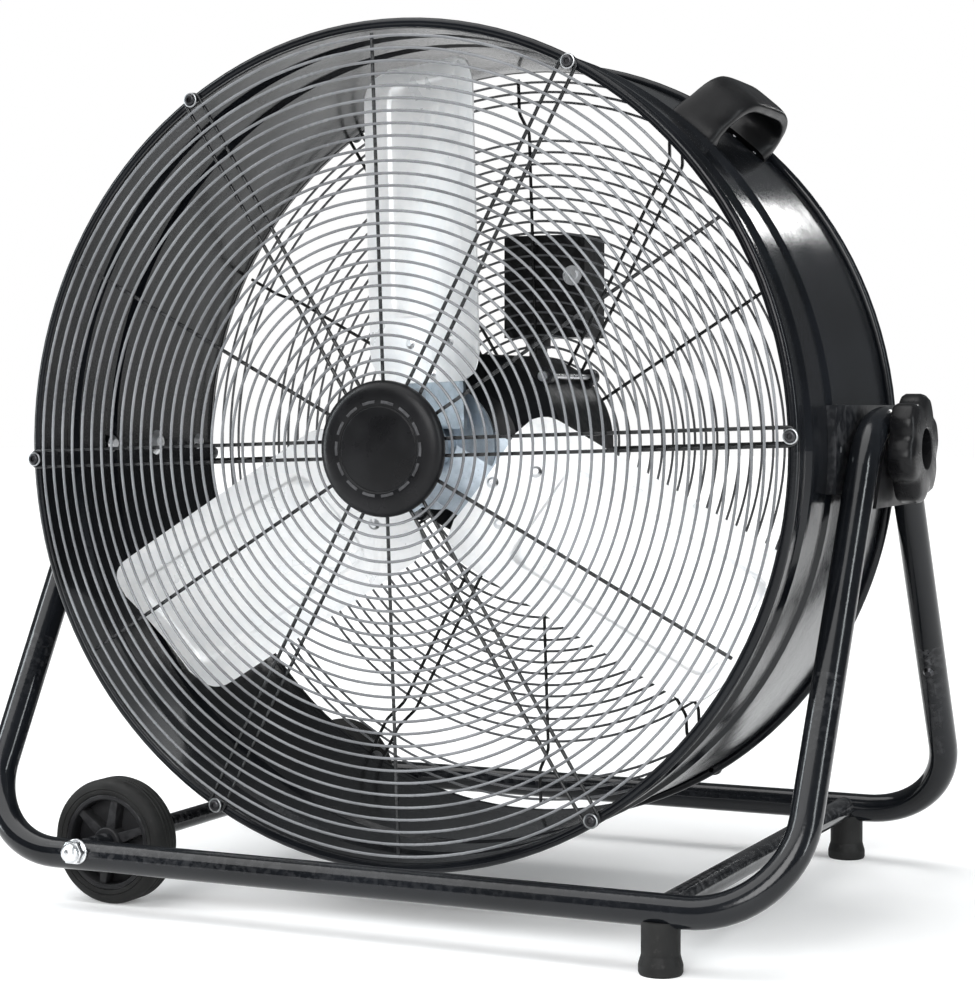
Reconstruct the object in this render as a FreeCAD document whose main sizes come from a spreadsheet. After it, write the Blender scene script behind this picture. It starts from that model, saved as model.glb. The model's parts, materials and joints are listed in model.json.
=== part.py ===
"""Wheeled drum fan: a round steel drum with wire guards, hung between two tube yokes on a low base."""

import FreeCAD, Part
import math
import os
import Sketcher
from FreeCAD import Placement, Rotation, Vector

DOC = FreeCAD.newDocument("DrumFan")
X_AXIS = Vector(1, 0, 0)
Y_AXIS = Vector(0, 1, 0)
Z_AXIS = Vector(0, 0, 1)
TURN_TO_FRONT = Rotation(X_AXIS, 90)
TURN_TO_REAR = Rotation(X_AXIS, -90)

# Driving dimensions in millimetres and degrees. The floor is z = 0 and the tilt pivots lie at y = 0.
DIMENSIONS = {
    "axis_height": 365,
    "rim_radius": 325,
    "rim_bead": 4,
    "shell_radius": 319,
    "sheet": 1.5,
    "drum_front": 175,
    "drum_rear": 95,
    "swage_first": 128,
    "swage_second": 72,
    "swage_half": 9,
    "swage_height": 3,
    "ring_wire": 1.3,
    "spoke_wire": 1.6,
    "weld_depth": 0.1,
    "ring_count": 28,
    "ring_inner": 58,
    "ring_outer": 311,
    "spoke_inner": 30,
    "spoke_pair": 6.5,
    "screw_circle": 320.5,
    "loop_circle": 318.2,
    "screw_angle": 2,
    "flange_radius": 5.8,
    "flange_sheet": 1.2,
    "guard_screw": 2.4,
    "guard_head": 4.6,
    "rear_ring_count": 20,
    "rear_ring_inner": 74,
    "basket_ring": 262,
    "basket_edge": 290,
    "basket_depth": 20,
    "cap_radius": 52,
    "cap_height": 11,
    "blade_chord": 136,
    "blade_tip": 302,
    "blade_root": 51,
    "blade_start": 91.5,
    "blade_pitch": 25,
    "blade_camber": 261,
    "blade_sheet": 1.5,
    "blade_plane": 92,
    "blade_corner": 26,
    "panel_width": 88,
    "panel_root": 104,
    "panel_tip": 288,
    "panel_corner": 11,
    "panel_depth": 1.6,
    "spider_radius": 50,
    "spider_sheet": 3,
    "arm_length": 100,
    "arm_width": 72,
    "boss_radius": 17,
    "boss_length": 30,
    "rivet_radius": 2.4,
    "rivet_head": 4.8,
    "rivet_outer": 83,
    "rivet_inner": 58,
    "rivet_side": 25,
    "shaft_radius": 6,
    "shaft_front": 112,
    "shaft_rear": 106,
    "running_gap": 0.06,
    "motor_radius": 75,
    "motor_wall": 3.5,
    "motor_front": 5,
    "motor_rear": 92,
    "bell_front": 47,
    "bell_rear": 20,
    "bearing_radius": 16,
    "bearing_width": 10,
    "stator_length": 38,
    "stator_bore": 45,
    "motor_bolt_circle": 80,
    "plate_radius": 60,
    "plate_sheet": 3,
    "mount_bolt_circle": 48,
    "box_width": 76,
    "box_height": 89,
    "box_depth": 44,
    "box_wall": 2,
    "box_across": 3,
    "box_above": 136,
    "handle_angle": 50,
    "handle_width": 44,
    "handle_front": 70,
    "handle_rear": 76,
    "handle_reach": 44,
    "handle_band": 8,
    "saddle_length": 164,
    "saddle_height": 66,
    "saddle_face": 325.2,
    "saddle_bolt": 69,
    "pivot_bolt": 5,
    "tube_radius": 12,
    "tube_wall": 1.5,
    "tube_height": 45,
    "leg_plane": 339,
    "base_half": 233,
    "base_bend": 75,
    "arch_bend": 70,
    "arch_top": 20,
    "seam_height": 203,
    "spigot_length": 40,
    "gusset_width": 20,
    "gusset_top": 26,
    "gusset_drop": 44,
    "knob_radius": 42,
    "knob_thick": 21,
    "knob_near": 351.8,
    "washer_radius": 12.5,
    "knob_recess": 15.5,
    "scallop_radius": 14,
    "scallop_reach": 50,
    "knob_lobes": 6,
    "wheel_radius": 50,
    "wheel_width": 30,
    "wheel_face": 205,
    "wheel_across": 236,
    "axle_height": 50,
    "axle_radius": 5,
    "rim_wheel_radius": 38,
    "hub_spokes": 6,
    "foot_across": 245,
    "foot_radius": 16,
    "cross_radius": 9.5,
}

sheet = DOC.addObject("Spreadsheet::Sheet", "Dim")
for row, (word, number) in enumerate(DIMENSIONS.items(), start=1):
    sheet.set(f"A{row}", word)
    sheet.set(f"B{row}", str(number))
    sheet.setAlias(f"B{row}", word)
DOC.recompute()


class Sizes:
    """Reads a driving dimension from the sheet by its alias."""

    def __getattr__(self, word):
        return float(getattr(sheet, word))


dim = Sizes()
nodes = []


def keep(obj, label, placement=None):
    """Names a finished sub-part and puts it in its place."""
    obj.Label = label
    if placement is not None:
        obj.Placement = placement
    nodes.append(obj)
    return obj


def bind(obj, **formulas):
    """Ties properties of an object to cells of the sheet."""
    for prop, formula in formulas.items():
        obj.setExpression(prop, formula)
    return obj


def cylinder(name, radius, height, base=Vector(), direction=Z_AXIS):
    """Part cylinder with bound radius and height; base and direction place it."""
    obj = bind(DOC.addObject("Part::Cylinder", name), Radius=radius, Height=height)
    obj.Placement = Placement(base, Rotation(Z_AXIS, direction))
    return obj


def box(name, length, width, height, corner=Vector(), rotation=Rotation()):
    """Part box with bound sides."""
    obj = bind(DOC.addObject("Part::Box", name), Length=length, Width=width, Height=height)
    obj.Placement = Placement(corner, rotation)
    return obj


def cone(name, low, high, height, base=Vector(), direction=Z_AXIS):
    """Part cone with bound radii and height."""
    obj = bind(DOC.addObject("Part::Cone", name), Radius1=low, Radius2=high, Height=height)
    obj.Placement = Placement(base, Rotation(Z_AXIS, direction))
    return obj


def ring(name, radius, wire, centre, direction=Y_AXIS):
    """Part torus with bound radii."""
    obj = bind(DOC.addObject("Part::Torus", name), Radius1=radius, Radius2=wire)
    obj.Placement = Placement(centre, Rotation(Z_AXIS, direction))
    return obj


def fuse(name, shapes):
    """Joins Part objects into one solid."""
    obj = DOC.addObject("Part::MultiFuse", name)
    obj.Shapes = shapes
    return obj


def cut(name, base, tools):
    """Takes one or more Part objects away from another."""
    tool = tools[0] if len(tools) == 1 else fuse(name + "_tools", tools)
    obj = DOC.addObject("Part::Cut", name)
    obj.Base = base
    obj.Tool = tool
    return obj


def common(name, first, second):
    """Keeps what two Part objects share."""
    obj = DOC.addObject("Part::Common", name)
    obj.Base = first
    obj.Tool = second
    return obj


def solids_group(label, shapes):
    """One node of separate identical pieces, such as a set of fasteners."""
    obj = DOC.addObject("Part::Compound", label)
    obj.Links = shapes
    return keep(obj, label)


def plane_of(body, role):
    """One of the body's own origin planes."""
    return next(f for f in body.Origin.OriginFeatures if f.Role == role)


def new_sketch(body, name, role="XY_Plane"):
    """Sketch on an origin plane of its body."""
    sketch = body.newObject("Sketcher::SketchObject", name)
    sketch.AttachmentSupport = [(plane_of(body, role), "")]
    sketch.MapMode = "FlatFace"
    return sketch


def polygon(sketch, corners):
    """Closed outline through corners given as pairs of formulas; every corner is tied to the sheet."""
    marks = [(FreeCAD.Vector(value(a), value(b), 0)) for a, b in corners]
    count = len(corners)
    for i in range(count):
        sketch.addGeometry(Part.LineSegment(marks[i], marks[(i + 1) % count]), False)
    for i in range(count):
        sketch.addConstraint(Sketcher.Constraint("Coincident", i, 2, (i + 1) % count, 1))
    for i, (across, up) in enumerate(corners):
        for kind, formula in (("DistanceX", across), ("DistanceY", up)):
            number = value(formula)
            if abs(number) < 1e-9:
                target = -2 if kind == "DistanceX" else -1
                sketch.addConstraint(Sketcher.Constraint("PointOnObject", i, 1, target))
                continue
            index = sketch.addConstraint(Sketcher.Constraint(kind, -1, 1, i, 1, number))
            sketch.setExpression(f"Constraints[{index}]", formula)


def value(formula):
    """Number that a sheet formula gives."""
    return float(sheet.evalExpression(formula.replace("Dim.", "")))


def turned(name, corners):
    """Body turned about its local Z axis from an outline of radius and height formulas."""
    body = DOC.addObject("PartDesign::Body", name)
    sketch = new_sketch(body, name + "_outline", "XZ_Plane")
    polygon(sketch, corners)
    turn = body.newObject("PartDesign::Revolution", name + "_turn")
    turn.Profile = sketch
    turn.ReferenceAxis = (sketch, ["V_Axis"])
    turn.Angle = 360
    body.Tip = turn
    return body


def disc_sketch(body, name, circles, role="XY_Plane"):
    """Sketch of circles given as (x, y, radius) formulas, each tied to the sheet."""
    sketch = new_sketch(body, name, role)
    for i, (across, up, radius) in enumerate(circles):
        centre = Vector(value(across), value(up), 0)
        sketch.addGeometry(Part.Circle(centre, Z_AXIS, value(radius)), False)
        index = sketch.addConstraint(Sketcher.Constraint("Radius", i, value(radius)))
        sketch.setExpression(f"Constraints[{index}]", radius)
        for kind, formula in (("DistanceX", across), ("DistanceY", up)):
            number = value(formula)
            if abs(number) < 1e-9:
                target = -2 if kind == "DistanceX" else -1
                sketch.addConstraint(Sketcher.Constraint("PointOnObject", i, 3, target))
                continue
            index = sketch.addConstraint(Sketcher.Constraint(kind, -1, 1, i, 3, number))
            sketch.setExpression(f"Constraints[{index}]", formula)
    return sketch


def pad(body, name, sketch, length, reversed_side=False):
    """Pad of a sketch with a bound length."""
    feature = body.newObject("PartDesign::Pad", name)
    feature.Profile = sketch
    feature.setExpression("Length", length)
    feature.Reversed = reversed_side
    body.Tip = feature
    return feature


def polar(angle, radius, along=0.0):
    """Point at an angle round the drum axis, counted from +X towards +Z, at y = along."""
    turn = math.radians(angle)
    return Vector(radius * math.cos(turn), along, dim.axis_height + radius * math.sin(turn))


def outward(angle):
    """Unit vector away from the drum axis."""
    turn = math.radians(angle)
    return Vector(math.cos(turn), 0, math.sin(turn))


SCREW_ANGLES = [dim.screw_angle + 60 * i for i in range(6)]
BLADE_ANGLES = [dim.blade_start + 120 * i for i in range(3)]


# ---------------------------------------------------------------- drum


def drum_shell():
    """Rolled sheet drum with two swaged beads and a rolled rim at each end."""
    f, r = "Dim.drum_front", "Dim.drum_rear"
    out, inn = "Dim.shell_radius", "Dim.shell_radius - Dim.sheet"
    corners = [(inn, f"-{r}"), (out, f"-{r}")]
    for swage in ("Dim.swage_second", "Dim.swage_first"):
        corners += [
            (out, f"{swage} - Dim.swage_half"),
            (out + " + Dim.swage_height", f"{swage} - Dim.swage_half / 3"),
            (out + " + Dim.swage_height", f"{swage} + Dim.swage_half / 3"),
            (out, f"{swage} + Dim.swage_half"),
        ]
    corners += [(out, f), (inn, f)]
    for swage in ("Dim.swage_first", "Dim.swage_second"):
        corners += [
            (inn, f"{swage} + Dim.swage_half"),
            (inn + " + Dim.swage_height", f"{swage} + Dim.swage_half / 3"),
            (inn + " + Dim.swage_height", f"{swage} - Dim.swage_half / 3"),
            (inn, f"{swage} - Dim.swage_half"),
        ]
    wall = turned("drum_wall", corners)
    wall.Placement = Placement(Vector(0, 0, dim.axis_height), TURN_TO_FRONT)
    beads = []
    for name, along in (("front_rim", dim.rim_bead - dim.drum_front), ("rear_rim", dim.drum_rear - dim.rim_bead)):
        bead = ring(name, "Dim.rim_radius - Dim.rim_bead", "Dim.rim_bead", Vector(0, along, dim.axis_height))
        beads.append(bead)
    skin = fuse("drum_skin", [wall] + beads)
    holes = []
    for i, angle in enumerate(SCREW_ANGLES):
        for side, start in (("front", -dim.drum_front - 1), ("rear", dim.drum_rear + 1)):
            way = Y_AXIS if side == "front" else -Y_AXIS
            holes.append(cylinder(f"{side}_rim_hole_{i}", "Dim.guard_screw + Dim.running_gap",
                                  "2 * Dim.rim_bead + 3", polar(angle, dim.screw_circle, start), way))
    for side in (-1, 1):
        for i, (along, radius) in enumerate(SADDLE_HOLES):
            start = Vector(side * (dim.shell_radius - 12), along, dim.axis_height)
            holes.append(cylinder(f"wall_hole_{i}_{'right' if side > 0 else 'left'}", radius, "20", start, X_AXIS * side))
    for i, point in enumerate(handle_screw_points()):
        holes.append(cylinder(f"handle_hole_{i}", "Dim.guard_screw + Dim.running_gap", "30",
                              point - outward(dim.handle_angle) * 15, outward(dim.handle_angle)))
    return keep(cut("drum_shell", skin, holes), "drum_shell")


SADDLE_HOLES = (
    (-dim.saddle_bolt, "Dim.guard_screw + Dim.running_gap"),
    (dim.saddle_bolt, "Dim.guard_screw + Dim.running_gap"),
    (0, "Dim.pivot_bolt + Dim.running_gap"),
)


def handle_screw_points():
    """Places on the drum wall where the carry handle is screwed down, two in each foot."""
    out = outward(dim.handle_angle)
    side = out.cross(Y_AXIS)
    points = []
    for along in (12 - dim.handle_front, dim.handle_rear - 12):
        for across in (-dim.handle_width / 4, dim.handle_width / 4):
            points.append(Vector(0, along, dim.axis_height) + out * dim.shell_radius + side * across)
    return points


def sideways(angle):
    """Unit vector round the drum axis, at right angles to outward(angle)."""
    turn = math.radians(angle)
    return Vector(-math.sin(turn), 0, math.cos(turn))


def swept_wire(name, edges, start, direction):
    """Guard wire of the spoke gauge, swept along its centreline."""
    circle = Part.Wire(Part.Circle(start, direction, dim.spoke_wire).toShape())
    obj = DOC.addObject("Part::Feature", name)
    obj.Shape = Part.Wire(edges).makePipeShell([circle], True, False)
    return obj


def leg_edges(angle, stops, shift, bend):
    """Centreline through (radius, y) stops in a radial plane shifted sideways, with small bends."""
    side = sideways(angle) * shift
    points = [polar(angle, radius, along) + side for radius, along in stops]
    edges = []
    last = points[0]
    for i in range(1, len(points) - 1):
        before = (points[i - 1] - points[i]).normalize()
        after = (points[i + 1] - points[i]).normalize()
        half = before.getAngle(after) / 2
        back = bend / math.tan(half)
        enter = points[i] + before * back
        leave = points[i] + after * back
        centre_way = (before + after).normalize()
        middle = points[i] + centre_way * (bend / math.sin(half) - bend)
        edges.append(Part.LineSegment(last, enter).toShape())
        edges.append(Part.Arc(enter, middle, leave).toShape())
        last = leave
    edges.append(Part.LineSegment(last, points[-1]).toShape())
    return edges


def hairpin(name, angle, stops, bend):
    """One wire doubled back round a screw: out along one side, round the loop and back along the other."""
    half = dim.spoke_pair
    end_radius, end_y = stops[-1]
    first = leg_edges(angle, stops, half, bend)
    loop = Part.Arc(
        polar(angle, end_radius, end_y) + sideways(angle) * half,
        polar(angle, end_radius + half, end_y),
        polar(angle, end_radius, end_y) - sideways(angle) * half,
    ).toShape()
    second = leg_edges(angle, stops, -half, bend)
    start = polar(angle, stops[0][0], stops[0][1]) + sideways(angle) * half
    return swept_wire(name, first + [loop] + second[::-1], start, outward(angle))


def single_wire(name, angle, stops, bend):
    """Plain spoke through the given stops."""
    return swept_wire(name, leg_edges(angle, stops, 0, bend), polar(angle, *stops[0]), outward(angle))


def guard_ring(name, radius, along):
    """Ring of round drawn wire, turned about the drum axis."""
    section = DOC.addObject("Part::Feature", name + "_section")
    section.Shape = Part.Wire(Part.Circle(Vector(), Y_AXIS, dim.ring_wire).toShape()).toNurbs()
    section.Placement = Placement(Vector(value(radius), 0, 0), Rotation())
    section.setExpression("Placement.Base.x", radius)
    wire = DOC.addObject("Part::Revolution", name)
    wire.Source = section
    wire.Axis = Z_AXIS
    wire.Angle = 360
    wire.Solid = True
    wire.Placement = Placement(Vector(0, along, dim.axis_height), Rotation(Z_AXIS, Y_AXIS))
    return wire


def front_guard():
    """Flat welded guard: rings in front of single spokes and of hairpins that loop round the screws."""
    spoke_y = -dim.drum_front - dim.spoke_wire
    ring_y = spoke_y - dim.spoke_wire - dim.ring_wire + dim.weld_depth
    count = int(dim.ring_count)
    step = f"(Dim.ring_outer - Dim.ring_inner) / {count - 1}"
    wires = [guard_ring(f"front_ring_{i}", f"Dim.ring_inner + {i} * {step}", ring_y) for i in range(count)]
    for i, angle in enumerate(SCREW_ANGLES):
        wires.append(hairpin(f"front_hairpin_{i}", angle,
                             [(dim.spoke_inner, spoke_y), (dim.loop_circle, spoke_y)], 4))
        wires.append(single_wire(f"front_single_{i}", angle + 30,
                                 [(dim.spoke_inner, spoke_y), (dim.ring_outer + 3, spoke_y)], 4))
    return solids_group("front_guard", wires)


def rear_guard():
    """Basket guard: its spokes step back from the rim to a flat face that carries the motor."""
    rim_y = dim.drum_rear + dim.spoke_wire
    face_y = rim_y + dim.basket_depth
    lift = dim.spoke_wire + dim.ring_wire - dim.weld_depth
    count = int(dim.rear_ring_count)
    step = f"(Dim.basket_ring - Dim.rear_ring_inner) / {count - 1}"
    wires = [guard_ring(f"rear_ring_{i}", f"Dim.rear_ring_inner + {i} * {step}", face_y + lift)
             for i in range(count)]
    for i in range(3):
        wires.append(guard_ring(f"rear_outer_ring_{i}", f"Dim.basket_edge + 3 + {i} * 8.5", rim_y + lift))
    elbow = dim.basket_ring + 7
    for i, angle in enumerate(SCREW_ANGLES):
        face = [(dim.spoke_inner, face_y), (elbow, face_y), (dim.basket_edge - 6, rim_y)]
        wires.append(hairpin(f"rear_hairpin_{i}", angle, face + [(dim.loop_circle, rim_y)], 4))
        wires.append(single_wire(f"rear_single_{i}", angle + 30, face + [(dim.basket_edge + 23, rim_y)], 4))
    return solids_group("rear_guard", wires)


def guard_screws():
    """Dome-headed screws that clamp the loops of both guards to the rolled rims."""
    screws = []
    for word, face, way in (("front", -dim.drum_front, Y_AXIS), ("rear", dim.drum_rear, -Y_AXIS)):
        for i, angle in enumerate(SCREW_ANGLES):
            seat = polar(angle, dim.screw_circle, face)
            shank = cylinder(f"{word}_screw_shank_{i}", "Dim.guard_screw", "2 * Dim.rim_bead", seat, way)
            neck = cylinder(f"{word}_screw_neck_{i}", "Dim.guard_screw", "2 * Dim.spoke_wire + 1", seat, way * -1)
            over = seat - way * (2 * dim.spoke_wire + 0.05)
            flange = cylinder(f"{word}_screw_flange_{i}", "Dim.flange_radius", "Dim.flange_sheet", over, way * -1)
            dome = cone(f"{word}_screw_dome_{i}", "Dim.guard_head", "Dim.guard_head * 0.45", "2",
                        over - way * dim.flange_sheet, way * -1)
            screws.append(fuse(f"{word}_guard_screw_{i}", [shank, neck, flange, dome]))
    return solids_group("guard_screws", screws)


def centre_cap():
    """Domed plastic cap with a snap peg, and the steel disc behind the spokes that it snaps into."""
    cap = turned("centre_cap", [
        ("0", "-2 * Dim.spoke_wire - 2.5"),
        ("Dim.guard_screw", "-2 * Dim.spoke_wire - 2.5"),
        ("Dim.guard_screw", "0"),
        ("Dim.cap_radius", "0"),
        ("Dim.cap_radius", "Dim.cap_height * 0.45"),
        ("Dim.cap_radius - 4", "Dim.cap_height * 0.8"),
        ("Dim.cap_radius - 14", "Dim.cap_height"),
        ("0", "Dim.cap_height"),
    ])
    front = -dim.drum_front - 2 * dim.spoke_wire - 0.1
    keep(cap, "centre_cap", Placement(Vector(0, front, dim.axis_height), TURN_TO_FRONT))
    disc = turned("guard_centre_disc", [
        ("Dim.guard_screw + Dim.running_gap", "0"),
        ("Dim.cap_radius - 6", "0"),
        ("Dim.cap_radius - 6", "Dim.sheet"),
        ("Dim.guard_screw + Dim.running_gap", "Dim.sheet"),
    ])
    keep(disc, "guard_centre_disc", Placement(Vector(0, 0.05 - dim.drum_front, dim.axis_height), TURN_TO_REAR))


# ---------------------------------------------------------------- fan


def blade_frame(angle):
    """Placement of a blade: local Z runs out along the blade, local X along the chord, local Y to the front."""
    out = outward(angle)
    side = Vector(-math.sin(math.radians(angle)), 0, math.cos(math.radians(angle)))
    pitch = math.radians(dim.blade_pitch)
    chord = side * math.cos(pitch) + Y_AXIS * math.sin(pitch)
    front = out.cross(chord)
    origin = Vector(0, -dim.blade_plane, dim.axis_height)
    matrix = FreeCAD.Matrix(
        chord.x, front.x, out.x, origin.x,
        chord.y, front.y, out.y, origin.y,
        chord.z, front.z, out.z, origin.z,
        0, 0, 0, 1,
    )
    return Placement(matrix)


RIVET_SPOTS = (
    (-dim.rivet_side, dim.rivet_outer),
    (dim.rivet_side, dim.rivet_outer),
    (0, dim.rivet_inner),
)


def rivet_axis(across, out):
    """Seat of a rivet on the cambered blade, and its direction to the front, in blade coordinates."""
    lean = math.asin(across / dim.blade_camber)
    seat = Vector(dim.blade_camber * math.sin(lean), dim.blade_camber * (1 - math.cos(lean)), out)
    return seat, Vector(-math.sin(lean), math.cos(lean), 0)


def rounded_block(name, half_width, low, high, radius):
    """Prism with rounded corners that cuts a blade or its pressed panel out of curved sheet."""
    body = DOC.addObject("PartDesign::Body", name)
    sketch = new_sketch(body, f"{name}_sketch", "XZ_Plane")
    polygon(sketch, [(f"-({half_width})", low), (half_width, low), (half_width, high), (f"-({half_width})", high)])
    block = body.newObject("PartDesign::Pad", f"{name}_pad")
    block.Profile = sketch
    block.Length = 60
    block.Midplane = True
    body.Tip = block
    DOC.recompute()
    corners = [f"Edge{n + 1}" for n, edge in enumerate(block.Shape.Edges)
               if abs(edge.tangentAt(edge.FirstParameter).y) > 0.99]
    rounds = body.newObject("PartDesign::Fillet", f"{name}_rounds")
    rounds.Base = (block, corners)
    rounds.setExpression("Radius", radius)
    body.Tip = rounds
    return body


def curved_sheet(name, inner, outer):
    """Tube wall, of the blade's camber, between two radii."""
    walls = []
    for part, radius in (("back", outer), ("face", inner)):
        wall = bind(DOC.addObject("Part::Cylinder", f"{name}_{part}"), Radius=radius,
                    Height="Dim.blade_tip - Dim.blade_root")
        wall.Placement = Placement(Vector(0, dim.blade_camber, dim.blade_root), Rotation())
        walls.append(wall)
    return cut(name, walls[0], [walls[1]])


def fan_blade(index, angle):
    """Cambered sheet paddle with rounded corners, a pressed panel and three rivet holes."""
    skin, skin_back = "Dim.blade_camber", "Dim.blade_camber + Dim.blade_sheet"
    low, low_back = skin + " + Dim.panel_depth", skin_back + " + Dim.panel_depth"
    half = "Dim.panel_width / 2"
    outline = rounded_block(f"blade_outline_{index}", "Dim.blade_chord / 2", "Dim.blade_root", "Dim.blade_tip",
                            "Dim.blade_corner")
    plate = common(f"blade_plate_{index}", curved_sheet(f"blade_skin_{index}", skin, skin_back), outline)
    outer = rounded_block(f"panel_outer_{index}", half, "Dim.panel_root", "Dim.panel_tip", "Dim.panel_corner")
    inner = rounded_block(f"panel_inner_{index}", f"{half} - Dim.blade_sheet", "Dim.panel_root + Dim.blade_sheet",
                          "Dim.panel_tip - Dim.blade_sheet", "Dim.panel_corner - Dim.blade_sheet")
    face = common(f"panel_face_{index}", curved_sheet(f"panel_skin_{index}", low, low_back), outer)
    rim = cut(f"panel_rim_{index}", outer, [inner])
    step = common(f"panel_step_{index}", curved_sheet(f"step_skin_{index}", skin, low_back), rim)
    window = cut(f"blade_window_{index}", plate, [inner])
    pressed = fuse(f"blade_pressed_{index}", [window, face, step])
    holes = []
    for i, (across, out) in enumerate(RIVET_SPOTS):
        seat, way = rivet_axis(across, out)
        holes.append(cylinder(f"blade_hole_{index}_{i}", "Dim.rivet_radius + Dim.running_gap", "20",
                              seat - way * 10, way))
    return keep(cut(f"fan_blade_{index}", pressed, holes), f"fan_blade_{index}", blade_frame(angle))


def blade_spider():
    """Hub disc with a boss and three arms bent to the blade pitch."""
    centre = Vector(0, -dim.blade_plane, dim.axis_height)
    disc = cylinder("spider_disc", "Dim.spider_radius", "Dim.spider_sheet", centre + Y_AXIS * 6, Y_AXIS)
    boss = cylinder("spider_boss", "Dim.boss_radius", "Dim.boss_length", centre + Y_AXIS * (6 - dim.boss_length / 2), Y_AXIS)
    arms = []
    holes = [cylinder("spider_bore", "Dim.shaft_radius + Dim.running_gap", "200", centre - Y_AXIS * 100, Y_AXIS)]
    for index, angle in enumerate(BLADE_ANGLES):
        frame = blade_frame(angle)
        arm = box(f"spider_arm_{index}", "Dim.arm_width", "Dim.spider_sheet", "Dim.arm_length - 14")
        local = Placement(Vector(-dim.arm_width / 2, -dim.blade_sheet - dim.spider_sheet, 14), Rotation())
        arm.Placement = frame.multiply(local)
        arms.append(arm)
        for i, (across, out) in enumerate(RIVET_SPOTS):
            seat, way = rivet_axis(across, out)
            hole = cylinder(f"spider_hole_{index}_{i}", "Dim.rivet_radius + Dim.running_gap", "30", seat - way * 15, way)
            hole.Placement = frame.multiply(hole.Placement)
            holes.append(hole)
    return keep(cut("blade_spider", fuse("spider_blank", [disc, boss] + arms), holes), "blade_spider")


def blade_rivets():
    """Three dome-headed rivets in the root of each blade."""
    rivets = []
    for index, angle in enumerate(BLADE_ANGLES):
        frame = blade_frame(angle)
        for i, (across, out) in enumerate(RIVET_SPOTS):
            seat, way = rivet_axis(across, out)
            grip = dim.blade_sheet + dim.spider_sheet + seat.y + 0.8
            tail = seat - way * grip
            shank = cylinder(f"rivet_shank_{index}_{i}", "Dim.rivet_radius", "Dim.blade_sheet + Dim.spider_sheet + 3.6",
                             tail - way, way)
            pieces = [
                shank,
                cone(f"rivet_head_{index}_{i}", "Dim.rivet_head", "Dim.rivet_head * 0.5", "2", seat + way * 0.1, way),
                cone(f"rivet_tail_{index}_{i}", "Dim.rivet_head * 0.9", "Dim.rivet_head * 0.5", "1.6", tail, way * -1),
            ]
            for piece in pieces:
                piece.Placement = frame.multiply(piece.Placement)
            rivets.append(fuse(f"rivet_{index}_{i}", pieces))
    return solids_group("blade_rivets", rivets)


# ---------------------------------------------------------------- motor


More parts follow.
